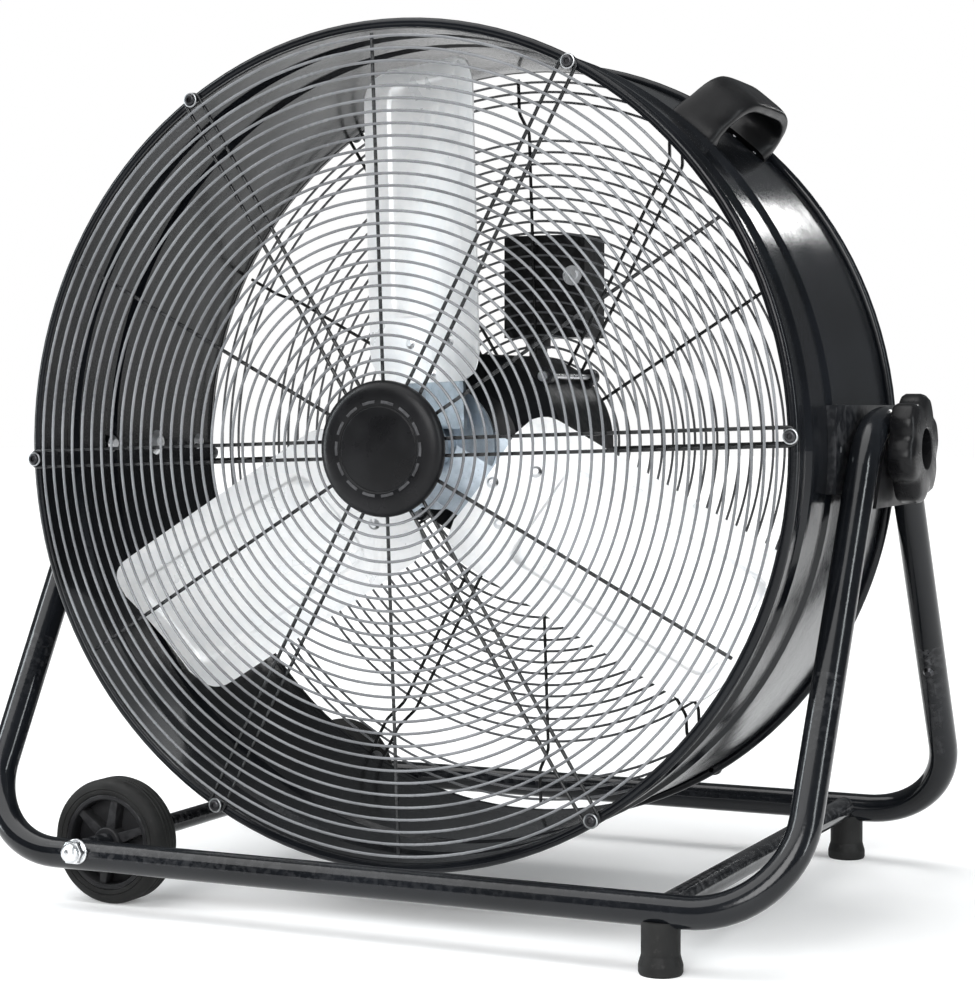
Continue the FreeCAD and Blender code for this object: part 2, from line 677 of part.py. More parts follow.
def motor():
    """Enclosed induction motor that hangs from the rear guard."""
    gap = "Dim.running_gap"
    wall = "Dim.motor_radius - Dim.motor_wall"
    axis = Vector(0, 0, dim.axis_height)
    shell = turned("motor_shell", [(wall, "Dim.motor_front"), ("Dim.motor_radius", "Dim.motor_front"),
                                   ("Dim.motor_radius", "Dim.motor_rear"), (wall, "Dim.motor_rear")])
    keep(shell, "motor_shell", Placement(axis, TURN_TO_REAR))

    seat, bore = "Dim.bearing_radius", f"Dim.shaft_radius + 1.5"
    front = turned("bell_front_cup", [
        (bore, "Dim.bell_front - 3"), (bore, "Dim.bell_front"), ("26", "Dim.bell_front"),
        ("Dim.motor_radius * 0.62", "Dim.bell_front - 8"), ("Dim.motor_radius", "14"), ("Dim.motor_radius", "0"),
        (wall, "0"), (wall, "12"), ("Dim.motor_radius * 0.58", "Dim.bell_front - 12"),
        ("21", "Dim.bell_front - 4"), ("21", "Dim.bell_front - 14"), (seat, "Dim.bell_front - 14"),
        (seat, "Dim.bell_front - 3"),
    ])
    front.Placement = Placement(Vector(0, dim.motor_front, dim.axis_height), TURN_TO_FRONT)
    rear = turned("bell_rear_cup", [
        ("0", "Dim.bell_rear - 3"), ("0", "Dim.bell_rear"), ("Dim.motor_radius - 8", "Dim.bell_rear"),
        ("Dim.motor_radius", "Dim.bell_rear - 8"), ("Dim.motor_radius", "0"), (wall, "0"),
        (wall, "Dim.bell_rear - 9"), ("Dim.motor_radius - 11", "Dim.bell_rear - 4"), ("21", "Dim.bell_rear - 4"),
        ("21", "Dim.bell_rear - 14"), (seat, "Dim.bell_rear - 14"), (seat, "Dim.bell_rear - 3"),
    ])
    rear.Placement = Placement(Vector(0, dim.motor_rear, dim.axis_height), TURN_TO_REAR)

    bolt_angles = [45, 135, 225, 315]
    for label, cup, start, way, thick in (
        ("front_bell", front, dim.motor_front, -Y_AXIS, 8),
        ("rear_bell", rear, dim.motor_rear, Y_AXIS, 8),
    ):
        ears = []
        holes = []
        for i, angle in enumerate(bolt_angles):
            spot = polar(angle, dim.motor_bolt_circle, start)
            ears.append(cylinder(f"{label}_ear_{i}", "7", str(thick), spot, way))
            holes.append(cylinder(f"{label}_ear_hole_{i}", f"2.5 + {gap}", "40", spot - way * 5, way))
        if label == "rear_bell":
            for i, angle in enumerate(bolt_angles):
                spot = polar(angle, dim.mount_bolt_circle, dim.motor_rear + dim.bell_rear + 1)
                holes.append(cylinder(f"mount_thread_{i}", f"3 + {gap}", "12", spot, -Y_AXIS))
        trimmed = cut(f"{label}_ears", fuse(f"{label}_ear_set", ears),
                      [cylinder(f"{label}_inside", "Dim.motor_radius - 1", "60", polar(0, 0, start) - way * 5, way)])
        keep(cut(label, fuse(f"{label}_blank", [cup, trimmed]), holes), label)

    bolts = []
    length = dim.motor_rear - dim.motor_front
    for i, angle in enumerate(bolt_angles):
        spot = polar(angle, dim.motor_bolt_circle, dim.motor_front - 8)
        shank = bind(DOC.addObject("Part::Cylinder", f"through_shank_{i}"),
                     Radius="2.5", Height="Dim.motor_rear - Dim.motor_front + 20")
        shank.Placement = Placement(spot, Rotation(Z_AXIS, Y_AXIS))
        head = cylinder(f"through_head_{i}", "4.2", "4", spot, -Y_AXIS)
        nut = cylinder(f"through_nut_{i}", "4.2", "4", spot + Y_AXIS * (length + 16), Y_AXIS)
        bolts.append(fuse(f"through_bolt_{i}", [shank, head, nut]))
    solids_group("motor_through_bolts", bolts)

    for label, along in (
        ("front_bearing", dim.motor_front - dim.bell_front + 3),
        ("rear_bearing", dim.motor_rear + dim.bell_rear - 3 - dim.bearing_width),
    ):
        race = turned(label, [(f"Dim.shaft_radius + {gap}", "0"), ("Dim.bearing_radius", "0"),
                              ("Dim.bearing_radius", "Dim.bearing_width"), (f"Dim.shaft_radius + {gap}", "Dim.bearing_width")])
        keep(race, label, Placement(Vector(0, along, dim.axis_height), TURN_TO_REAR))

    middle = (dim.motor_front + dim.motor_rear) / 2 - dim.stator_length / 2
    core = turned("stator_core", [("Dim.stator_bore", "0"), (wall + " - 0.05", "0"),
                                  (wall + " - 0.05", "Dim.stator_length"), ("Dim.stator_bore", "Dim.stator_length")])
    keep(core, "stator_core", Placement(Vector(0, middle, dim.axis_height), TURN_TO_REAR))
    coils = []
    for i, start in enumerate((middle - 13, middle + dim.stator_length)):
        coil = turned(f"coil_{i}", [("Dim.stator_bore + 4", "0"), (wall + " - 5", "0"), (wall + " - 5", "13"),
                                    ("Dim.stator_bore + 4", "13")])
        coil.Placement = Placement(Vector(0, start, dim.axis_height), TURN_TO_REAR)
        coils.append(coil)
    solids_group("stator_windings", coils)

    rotor = turned("rotor_core", [(f"Dim.shaft_radius + {gap}", "0"), ("Dim.stator_bore - 0.5", "0"),
                                  ("Dim.stator_bore - 0.5", "Dim.stator_length"),
                                  (f"Dim.shaft_radius + {gap}", "Dim.stator_length")])
    keep(rotor, "rotor_core", Placement(Vector(0, middle, dim.axis_height), TURN_TO_REAR))
    shaft = cylinder("motor_shaft", "Dim.shaft_radius", "Dim.shaft_front + Dim.shaft_rear",
                     Vector(0, -dim.shaft_front, dim.axis_height), Y_AXIS)
    keep(shaft, "motor_shaft")
    nut = cylinder("hub_nut_blank", "10", "6", Vector(0, -dim.blade_plane + 6 - dim.boss_length / 2 - 0.1, dim.axis_height), -Y_AXIS)
    hole = cylinder("hub_nut_hole", f"Dim.shaft_radius + {gap}", "40", Vector(0, -dim.blade_plane - 40, dim.axis_height), Y_AXIS)
    keep(cut("hub_nut", nut, [hole]), "hub_nut")


def motor_mount():
    """Two discs that clamp the rear guard's spokes, bolted through to the rear bell."""
    face = dim.motor_rear + dim.bell_rear
    spots = [45, 135, 225, 315]
    for label, along in (("motor_plate", face), ("guard_clamp_plate", face + dim.plate_sheet + 2 * dim.spoke_wire + 0.2)):
        disc = cylinder(f"{label}_disc", "Dim.plate_radius", "Dim.plate_sheet", Vector(0, along, dim.axis_height), Y_AXIS)
        holes = [cylinder(f"{label}_hole_{i}", "3 + Dim.running_gap", "20",
                          polar(angle, dim.mount_bolt_circle, along - 5), Y_AXIS) for i, angle in enumerate(spots)]
        keep(cut(label, disc, holes), label)
    bolts = []
    outer = face + 2 * dim.plate_sheet + 2 * dim.spoke_wire + 0.2
    for i, angle in enumerate(spots):
        seat = polar(angle, dim.mount_bolt_circle, outer)
        shank = cylinder(f"mount_shank_{i}", "3", "14", seat, -Y_AXIS)
        head = cylinder(f"mount_head_{i}", "5", "4", seat, Y_AXIS)
        bolts.append(fuse(f"mount_bolt_{i}", [shank, head]))
    solids_group("motor_mount_bolts", bolts)


# ---------------------------------------------------------------- switch box


def switch_box():
    """Control box on the rear guard: tray, rear cover, rotary switch, capacitor, gland and knob."""
    ring_back = dim.drum_rear + dim.basket_depth + 2 * dim.spoke_wire + 2 * dim.ring_wire - dim.weld_depth
    near = ring_back + 0.1
    middle = Vector(dim.box_across, near, dim.axis_height + dim.box_above)
    corner = middle + Vector(-dim.box_width / 2, 0, -dim.box_height / 2)
    inner = Vector(dim.box_wall, dim.box_wall, dim.box_wall)
    tray = box("tray_block", "Dim.box_width", "Dim.box_depth", "Dim.box_height", corner)
    room = box("tray_room", "Dim.box_width - 2 * Dim.box_wall", "Dim.box_depth", "Dim.box_height - 2 * Dim.box_wall",
               corner + inner)
    ring_gap = dim.rear_ring_inner + 7.5 * (dim.basket_ring - dim.rear_ring_inner) / (dim.rear_ring_count - 1)
    clamp_x = dim.box_across + 28
    clamp_spot = Vector(clamp_x, near, dim.axis_height + math.sqrt(ring_gap ** 2 - clamp_x ** 2))
    holes = [cylinder("tray_hole", "2.5 + Dim.running_gap", "20", clamp_spot - Y_AXIS * 10, Y_AXIS)]
    gland_spot = middle + Vector(-15, dim.box_depth / 2, -dim.box_height / 2)
    holes.append(cylinder("gland_hole", "8 + Dim.running_gap", "20", gland_spot - Z_AXIS * 10, Z_AXIS))
    folded = cut("folded_tray", tray, [room] + holes)

    lid = box("lid_block", "Dim.box_width", "Dim.box_wall", "Dim.box_height", corner + Y_AXIS * (dim.box_depth + 0.05))
    knob_spot = middle + Vector(0, dim.box_depth, 14)
    lid_holes = [cylinder("lid_bore", "4 + Dim.running_gap", "20", knob_spot - Y_AXIS * 10, Y_AXIS)]
    screw_spots = [middle + Vector(x * (dim.box_width / 2 - 6), dim.box_depth, z * (dim.box_height / 2 - 6))
                   for x in (-1, 1) for z in (-1, 1)]
    for i, spot in enumerate(screw_spots):
        lid_holes.append(cylinder(f"lid_hole_{i}", "1.75 + Dim.running_gap", "20", spot - Y_AXIS * 10, Y_AXIS))
    keep(cut("switch_box_cover", lid, lid_holes), "switch_box_cover")

    posts = []
    screws = []
    for i, spot in enumerate(screw_spots):
        post = cylinder(f"post_{i}", "4.5", "Dim.box_depth - Dim.box_wall / 2",
                        spot - Y_AXIS * (dim.box_depth - dim.box_wall / 2), Y_AXIS)
        thread = cylinder(f"post_thread_{i}", "1.75 + Dim.running_gap", "13", spot - Y_AXIS * 12.5, Y_AXIS)
        posts.append(cut(f"cover_post_{i}", post, [thread]))
        top = spot + Y_AXIS * (dim.box_wall + 0.05)
        shank = cylinder(f"cover_shank_{i}", "1.75", "12", top, -Y_AXIS)
        head = cylinder(f"cover_head_{i}", "3.2", "2", top, Y_AXIS)
        screws.append(fuse(f"cover_screw_{i}", [shank, head]))
    keep(fuse("switch_box", [folded] + posts), "switch_box")
    solids_group("cover_screws", screws)

    under = Vector(clamp_spot.x, ring_back - 2 * dim.ring_wire - 1.7, clamp_spot.z)
    start = clamp_spot + Y_AXIS * dim.box_wall
    clamp = [
        cylinder("box_shank", "2.5", str(start.y - under.y + 1), start, -Y_AXIS),
        cylinder("box_washer", "8.5", "1.6", under, Y_AXIS),
        cylinder("box_head", "5", "3", under, -Y_AXIS),
        cylinder("box_nut", "4.4", "3", start, Y_AXIS),
    ]
    keep(fuse("box_clamp_screw", clamp), "box_clamp_screw")

    switch = box("switch_block", "30", "22", "30", knob_spot + Vector(-15, -24.5, -15))
    neck = cylinder("switch_neck", "4", "5", knob_spot - Y_AXIS * 2.5, Y_AXIS)
    stem_hole = cylinder("switch_bore", "2.5 + Dim.running_gap", "30", knob_spot - Y_AXIS * 12, Y_AXIS)
    keep(cut("speed_switch", fuse("switch_blank", [switch, neck]), [stem_hole]), "speed_switch")
    stem = cylinder("switch_stem", "2.5", "18", knob_spot - Y_AXIS * 11.5, Y_AXIS)
    grip = cone("speed_grip", "15", "13", "14", knob_spot + Y_AXIS * (dim.box_wall + 0.9), Y_AXIS)
    bar = box("speed_bar", "6", "7", "26", knob_spot + Vector(-3, dim.box_wall + 12, -13))
    keep(fuse("speed_knob", [stem, grip, bar]), "speed_knob")

    floor = dim.box_wall + 0.05 - dim.box_height / 2
    keep(cylinder("capacitor", "11", "38", middle + Vector(12, 28, floor), Z_AXIS), "capacitor")
    barrel = cylinder("gland_barrel", "8", "24", gland_spot + Z_AXIS * 6, -Z_AXIS)
    collar = cylinder("gland_collar", "11", "9", gland_spot - Z_AXIS * 0.05, -Z_AXIS)
    nut = cylinder("gland_nut", "10.5", "3", gland_spot + Z_AXIS * (dim.box_wall + 0.05), Z_AXIS)
    way = cylinder("gland_way", "4", "60", gland_spot + Z_AXIS * 30, -Z_AXIS)
    keep(cut("cable_gland", fuse("gland_blank", [barrel, collar, nut]), [way]), "cable_gland")


# ---------------------------------------------------------------- handle and pivots


def carry_handle():
    """Moulded bail: a wide band that rises from two feet and runs along the drum."""
    out = outward(dim.handle_angle)
    side = out.cross(Y_AXIS)
    body = DOC.addObject("PartDesign::Body", "handle_band")
    sketch = new_sketch(body, "handle_side", "XZ_Plane")
    front, rear, reach, band = "-Dim.handle_front", "Dim.handle_rear", "Dim.handle_reach", "Dim.handle_band"
    polygon(sketch, [
        (front, "-6"), (front, "7"), (f"{front} + 14", f"{reach} - 12"), (f"{front} + 26", reach),
        (f"{rear} - 22", reach), (f"{rear} - 6", f"{reach} - 14"), (rear, "7"), (rear, "-6"),
        (f"{rear} - 24", "-6"), (f"{rear} - 24", "7"), (f"{rear} - 15", f"{reach} - 20"),
        (f"{rear} - 26", f"{reach} - {band}"), (f"{front} + 30", f"{reach} - {band}"),
        (f"{front} + 24", f"{reach} - 16"), (f"{front} + 24", "7"), (f"{front} + 24", "-6"),
    ])
    band_pad = body.newObject("PartDesign::Pad", "handle_pad")
    band_pad.Profile = sketch
    band_pad.setExpression("Length", "Dim.handle_width")
    band_pad.Midplane = True
    body.Tip = band_pad
    origin = Vector(0, 0, dim.axis_height) + out * dim.shell_radius
    matrix = FreeCAD.Matrix(
        0, side.x, out.x, origin.x,
        1, side.y, out.y, origin.y,
        0, side.z, out.z, origin.z,
        0, 0, 0, 1,
    )
    body.Placement = Placement(matrix)
    envelope = cylinder("handle_bed", "Dim.shell_radius + 0.05", "400", Vector(0, -200, dim.axis_height), Y_AXIS)
    tools = [envelope]
    swage = cylinder("handle_swage", "Dim.shell_radius + Dim.swage_height + 0.1", "2 * Dim.swage_half",
                     Vector(0, -dim.swage_second - dim.swage_half, dim.axis_height), Y_AXIS)
    tools.append(swage)
    for i, point in enumerate(handle_screw_points()):
        tools.append(cylinder(f"handle_thread_{i}", "Dim.guard_screw + Dim.running_gap", "14", point - out * 5, out))
    keep(cut("carry_handle", body, tools), "carry_handle")
    screws = []
    for i, point in enumerate(handle_screw_points()):
        across = math.hypot(dim.shell_radius, dim.handle_width / 4)
        inner = point - out * (dim.sheet + across - dim.shell_radius + 0.3)
        shank = cylinder(f"handle_shank_{i}", "Dim.guard_screw", "9", inner, out)
        head = cone(f"handle_head_{i}", "Dim.guard_head", "Dim.guard_head * 0.5", "2.6", inner, out * -1)
        screws.append(fuse(f"handle_screw_{i}", [shank, head]))
    solids_group("handle_screws", screws)


def pivots():
    """Per side: saddle plate on the drum, pivot bolt, friction washer and star knob."""
    rivets = []
    bolts = []
    washers = []
    for word, side in (("left", -1), ("right", 1)):
        way = X_AXIS * side
        hub = Vector(0, 0, dim.axis_height)
        low = dim.shell_radius - 10
        x_start = low if side > 0 else -dim.saddle_face
        block = box(f"{word}_saddle_block", "Dim.saddle_face - Dim.shell_radius + 10", "Dim.saddle_length",
                    "Dim.saddle_height", Vector(x_start, -dim.saddle_length / 2, dim.axis_height - dim.saddle_height / 2))
        bed = cylinder(f"{word}_saddle_bed", "Dim.shell_radius + 0.05", "400", Vector(0, -200, dim.axis_height), Y_AXIS)
        swage = cylinder(f"{word}_saddle_swage", "Dim.shell_radius + Dim.swage_height + 0.1", "2 * Dim.swage_half",
                         Vector(0, -dim.swage_second - dim.swage_half, dim.axis_height), Y_AXIS)
        holes = [cylinder(f"{word}_saddle_hole_{i}", radius, "40", hub + Y_AXIS * along + way * 300, way)
                 for i, (along, radius) in enumerate(SADDLE_HOLES)]
        keep(cut(f"{word}_saddle", block, [bed, swage] + holes), f"{word}_saddle")

        for i, along in enumerate((-dim.saddle_bolt, dim.saddle_bolt)):
            inner = hub + Y_AXIS * along + way * (dim.shell_radius - dim.sheet - 0.1)
            shank = cylinder(f"{word}_saddle_shank_{i}", "Dim.guard_screw",
                             "Dim.saddle_face - Dim.shell_radius + Dim.sheet + 0.1", inner, way)
            head = cone(f"{word}_saddle_head_{i}", "7", "4", "3.2", inner, way * -1)
            rivets.append(fuse(f"{word}_saddle_rivet_{i}", [shank, head]))

        inner = hub + way * (dim.shell_radius - dim.sheet - 0.1)
        shank = bind(DOC.addObject("Part::Cylinder", f"{word}_bolt_shank"), Radius="Dim.pivot_bolt",
                     Height="Dim.knob_near + 11 - Dim.shell_radius + Dim.sheet")
        shank.Placement = Placement(inner, Rotation(Z_AXIS, way))
        head = cone(f"{word}_bolt_head", "11", "6", "4", inner, way * -1)
        bolts.append(fuse(f"{word}_pivot_bolt", [shank, head]))

        bore = "Dim.pivot_bolt + Dim.running_gap"
        face = "(Dim.gusset_width / 2 + 0.35)"
        for name, near, far in (("inner", "Dim.saddle_face + 0.05", f"Dim.leg_plane - {face}"),
                                ("outer", f"Dim.leg_plane + {face}", "Dim.knob_near - 0.05")):
            washer = turned(f"{word}_{name}_washer", [(bore, near), ("Dim.washer_radius", near),
                                                      ("Dim.washer_radius", far), (bore, far)])
            washer.Placement = Placement(hub, Rotation(Z_AXIS, way))
            washers.append(washer)
        tilt_knob(word, side)
    solids_group("saddle_rivets", rivets)
    solids_group("pivot_bolts", bolts)
    solids_group("friction_washers", washers)


def tilt_knob(word, side):
    """Lobed knob: scalloped disc with a round recess in its outer face."""
    body = DOC.addObject("PartDesign::Body", f"{word}_tilt_knob")
    disc = disc_sketch(body, f"{word}_knob_disc", [("0", "0", "Dim.knob_radius")])
    pad(body, f"{word}_knob_pad", disc, "Dim.knob_thick")
    scallop = disc_sketch(body, f"{word}_knob_scallop", [("Dim.scallop_reach", "0", "Dim.scallop_radius")])
    bite = body.newObject("PartDesign::Pocket", f"{word}_knob_bite")
    bite.Profile = scallop
    bite.Type = "ThroughAll"
    bite.Reversed = True
    body.Tip = bite
    DOC.recompute()
    pattern = body.newObject("PartDesign::PolarPattern", f"{word}_knob_pattern")
    pattern.Originals = [bite]
    pattern.Axis = (disc, ["N_Axis"])
    pattern.Angle = 360
    pattern.Occurrences = int(dim.knob_lobes)
    body.Tip = pattern
    for name, radius, depth in (("bore", "Dim.pivot_bolt + Dim.running_gap", None),
                                ("recess", "Dim.knob_recess", "Dim.knob_thick - 11")):
        plan = disc_sketch(body, f"{word}_knob_{name}_plan", [("0", "0", radius)])
        if depth is None:
            feature = body.newObject("PartDesign::Pocket", f"{word}_knob_{name}")
            feature.Type = "Length"
            feature.Length = 30
            feature.Reversed = True
        else:
            plan.AttachmentOffset = Placement(Vector(0, 0, dim.knob_thick), Rotation())
            plan.setExpression("AttachmentOffset.Base.z", "Dim.knob_thick")
            feature = body.newObject("PartDesign::Pocket", f"{word}_knob_{name}")
            feature.Type = "Length"
            feature.setExpression("Length", depth)
        feature.Profile = plan
        body.Tip = feature
    way = X_AXIS * side
    phase = 77
    facing = Rotation(Z_AXIS, way)
    spin = Rotation(way, phase * side)
    keep(body, f"{word}_tilt_knob", Placement(Vector(side * dim.knob_near, 0, dim.axis_height), spin.multiply(facing)))


# ---------------------------------------------------------------- stand


def lean_angle():
    """Lean of the legs from the vertical, so that each leg line is tangent to the arch above the pivot."""
    rise = dim.axis_height + dim.arch_top - dim.arch_bend - dim.tube_height
    reach = dim.base_half
    lean = 0.5
    for _ in range(40):
        lean = math.atan2(reach - dim.arch_bend * math.cos(lean), rise + dim.arch_bend * math.sin(lean))
    return lean


LEAN = lean_angle()


def leg_point(height):
    """Distance from the pivot plane of a leg's centreline at a height above the floor."""
    return dim.base_half - (height - dim.tube_height) * math.tan(LEAN)


def tube_solid(name, path, start, direction, radius):
    """Round bar along a planar path of lines and tangent arcs."""
    circle = Part.Wire(Part.Circle(start, direction, radius).toShape())
    obj = DOC.addObject("Part::Feature", name)
    obj.Shape = path.makePipeShell([circle], True, True)
    return obj


def arc_between(start, middle, end):
    """Arc edge through three points."""
    return Part.Arc(start, middle, end).toShape()


def base_path(side):
    """Centreline of a base tube: up-turned ends in the plane of the legs, joined by two large bends."""
    lift = Vector(0, -side * math.sin(LEAN), math.cos(LEAN))
    origin = Vector(0, side * dim.base_half, dim.tube_height)
    length = (dim.seam_height - dim.tube_height) / math.cos(LEAN)
    bend = dim.base_bend
    plane = dim.leg_plane

    def at(across, up):
        return origin + X_AXIS * across + lift * up

    slack = bend * (1 - math.cos(math.radians(45)))
    edges = [
        Part.LineSegment(at(-plane, length), at(-plane, bend)).toShape(),
        arc_between(at(-plane, bend), at(-plane + slack, slack), at(-plane + bend, 0)),
        Part.LineSegment(at(-plane + bend, 0), at(plane - bend, 0)).toShape(),
        arc_between(at(plane - bend, 0), at(plane - slack, slack), at(plane, bend)),
        Part.LineSegment(at(plane, bend), at(plane, length)).toShape(),
    ]
    return Part.Wire(edges), at(-plane, length), lift * -1


def yoke_path(side, tail):
    """Centreline of a yoke: two legs and the arch over the pivot; tail is how far it goes below the seam."""
    x = side * dim.leg_plane
    low = dim.seam_height - tail * math.cos(LEAN)
    centre = dim.axis_height + dim.arch_top - dim.arch_bend
    swing_y = dim.arch_bend * math.cos(LEAN)
    swing_z = dim.arch_bend * math.sin(LEAN)
    points = [
        Vector(x, -leg_point(low), low),
        Vector(x, -swing_y, centre + swing_z),
        Vector(x, 0, centre + dim.arch_bend),
        Vector(x, swing_y, centre + swing_z),
        Vector(x, leg_point(low), low),
    ]
    edges = [
        Part.LineSegment(points[0], points[1]).toShape(),
        arc_between(points[1], points[2], points[3]),
        Part.LineSegment(points[3], points[4]).toShape(),
    ]
    return Part.Wire(edges), points[0], Vector(0, math.sin(LEAN), math.cos(LEAN))


def stand_tubes():
    """Two base tubes and two yokes; each yoke leg plugs into a base tube with a reduced spigot."""
    bore = dim.tube_radius - dim.tube_wall
    seam_holes = []
    for i, (word, side) in enumerate((("front", -1), ("rear", 1))):
        for j, across in enumerate((-1, 1)):
            height = dim.seam_height - 20
            spot = Vector(across * dim.leg_plane, side * leg_point(height), height)
            inward = Vector(0, -side * math.cos(LEAN), -math.sin(LEAN))
            seam_holes.append((f"{word}_{j}", spot, inward))
    axle_hole = Vector(-dim.wheel_across, 0, dim.axle_height)
    for word, side in (("front", -1), ("rear", 1)):
        path, start, way = base_path(side)
        skin = tube_solid(f"{word}_base_skin", path, start, way, dim.tube_radius)
        core = tube_solid(f"{word}_base_core", path, start, way, bore)
        tools = [core, cylinder(f"{word}_axle_hole", "Dim.axle_radius + Dim.running_gap", "60",
                                axle_hole + Y_AXIS * (side * dim.base_half - 30), Y_AXIS)]
        foot_spot = Vector(dim.foot_across, side * dim.base_half, dim.tube_height)
        tools.append(cylinder(f"{word}_foot_hole", "3 + Dim.running_gap", "20", foot_spot, -Z_AXIS))
        for name, spot, inward in seam_holes:
            if name.startswith(word):
                tools.append(cylinder(f"seam_hole_{name}", "2.5 + Dim.running_gap", "15", spot, inward))
        keep(cut(f"{word}_base_tube", skin, tools), f"{word}_base_tube")

    for word, side in (("left", -1), ("right", 1)):
        path, start, way = yoke_path(side, 0)
        skin = tube_solid(f"{word}_yoke_skin", path, start, way, dim.tube_radius)
        long_path, long_start, long_way = yoke_path(side, dim.spigot_length)
        spigot = tube_solid(f"{word}_yoke_spigot", long_path, long_start, long_way, bore - dim.running_gap)
        core = tube_solid(f"{word}_yoke_core", long_path, long_start, long_way, bore - dim.tube_wall)
        tools = [core]
        for name, spot, inward in seam_holes:
            if spot.x * side > 0:
                tools.append(cylinder(f"yoke_hole_{name}", "2.5 + Dim.running_gap", "15", spot, inward))
        keep(cut(f"{word}_yoke", fuse(f"{word}_yoke_blank", [skin, spigot]), tools), f"{word}_yoke")
        gusset(word, side, path, start, way)

    screws = []
    for name, spot, inward in seam_holes:
        seat = spot + inward * (dim.tube_radius + 0.1)
        shank = cylinder(f"frame_shank_{name}", "2.5", "6", seat, inward * -1)
        head = cone(f"frame_head_{name}", "4.6", "2.6", "2.6", seat, inward)
        screws.append(fuse(f"frame_screw_{name}", [shank, head]))
    solids_group("frame_screws", screws)


def gusset(word, side, path, start, way):
    """Pivot block that fills the yoke's arch and takes the pivot bolt."""
    body = DOC.addObject("PartDesign::Body", f"{word}_gusset_body")
    sketch = new_sketch(body, f"{word}_gusset_outline", "YZ_Plane")
    top = "Dim.arch_top - Dim.tube_radius + 4"
    half_low = f"Dim.gusset_top + ({top} + Dim.gusset_drop) * {math.tan(LEAN):.6f}"
    polygon(sketch, [(f"-({half_low})", "-Dim.gusset_drop"), (half_low, "-Dim.gusset_drop"),
                     ("Dim.gusset_top", top), ("-Dim.gusset_top", top)])
    block = body.newObject("PartDesign::Pad", f"{word}_gusset_pad")
    block.Profile = sketch
    block.setExpression("Length", "Dim.gusset_width")
    block.Midplane = True
    body.Tip = block
    body.Placement = Placement(Vector(side * dim.leg_plane, 0, dim.axis_height), Rotation())
    clear = tube_solid(f"{word}_gusset_clear", path, start, way, dim.tube_radius + 0.02)
    bore = cylinder(f"{word}_gusset_bore", "Dim.pivot_bolt + Dim.running_gap", "60",
                    Vector(side * dim.leg_plane - 30, 0, dim.axis_height), X_AXIS)
    keep(cut(f"{word}_pivot_block", body, [clear, bore]), f"{word}_pivot_block")


def cross_tube_and_feet():
    """Cross tube between the base tubes, with a rubber foot under each end."""
    span = cylinder("cross_span", "Dim.cross_radius", "2 * Dim.base_half",
                    Vector(dim.foot_across, -dim.base_half, dim.tube_height), Y_AXIS)
    trims = []
    for word, side in (("front", -1), ("rear", 1)):
        trims.append(cylinder(f"cross_trim_{word}", "Dim.tube_radius + 0.02", "80",
                              Vector(dim.foot_across - 40, side * dim.base_half, dim.tube_height), X_AXIS))
    core = cylinder("cross_core", "Dim.cross_radius - Dim.tube_wall", "2 * Dim.base_half",
                    Vector(dim.foot_across, -dim.base_half, dim.tube_height), Y_AXIS)
    keep(cut("cross_tube", span, [core] + trims), "cross_tube")
    for word, side in (("front", -1), ("rear", 1)):
        spot = Vector(dim.foot_across, side * dim.base_half, 0)
        pad_solid = turned(f"{word}_foot_pad", [
            ("3 + Dim.running_gap", "10"), ("7", "10"), ("7", "0"), ("Dim.foot_radius - 1", "0"),
            ("Dim.foot_radius", "2"), ("Dim.foot_radius", "7"), ("Dim.foot_radius - 2", "14"),
            ("Dim.foot_radius - 2", "Dim.tube_height - 7"), ("3 + Dim.running_gap", "Dim.tube_height - 7"),
        ])
        pad_solid.Placement = Placement(spot, Rotation())
        seat = cylinder(f"{word}_foot_seat", "Dim.tube_radius + 0.02", "80",
                        Vector(dim.foot_across - 40, spot.y, dim.tube_height), X_AXIS)
        way = cylinder(f"{word}_foot_way", "Dim.cross_radius + 0.05", "80",
                       Vector(dim.foot_across, spot.y, dim.tube_height), Y_AXIS * -side)
        keep(cut(f"{word}_foot", pad_solid, [seat, way]), f"{word}_foot")
    bolts = []
    for word, side in (("front", -1), ("rear", 1)):
        spot = Vector(dim.foot_across, side * dim.base_half, 9.9)
        shank = cylinder(f"foot_shank_{word}", "3", "30", spot, Z_AXIS)
        head = cylinder(f"foot_head_{word}", "5.5", "3.8", spot, -Z_AXIS)
        bolts.append(fuse(f"foot_bolt_{word}", [shank, head]))
    solids_group("foot_bolts", bolts)


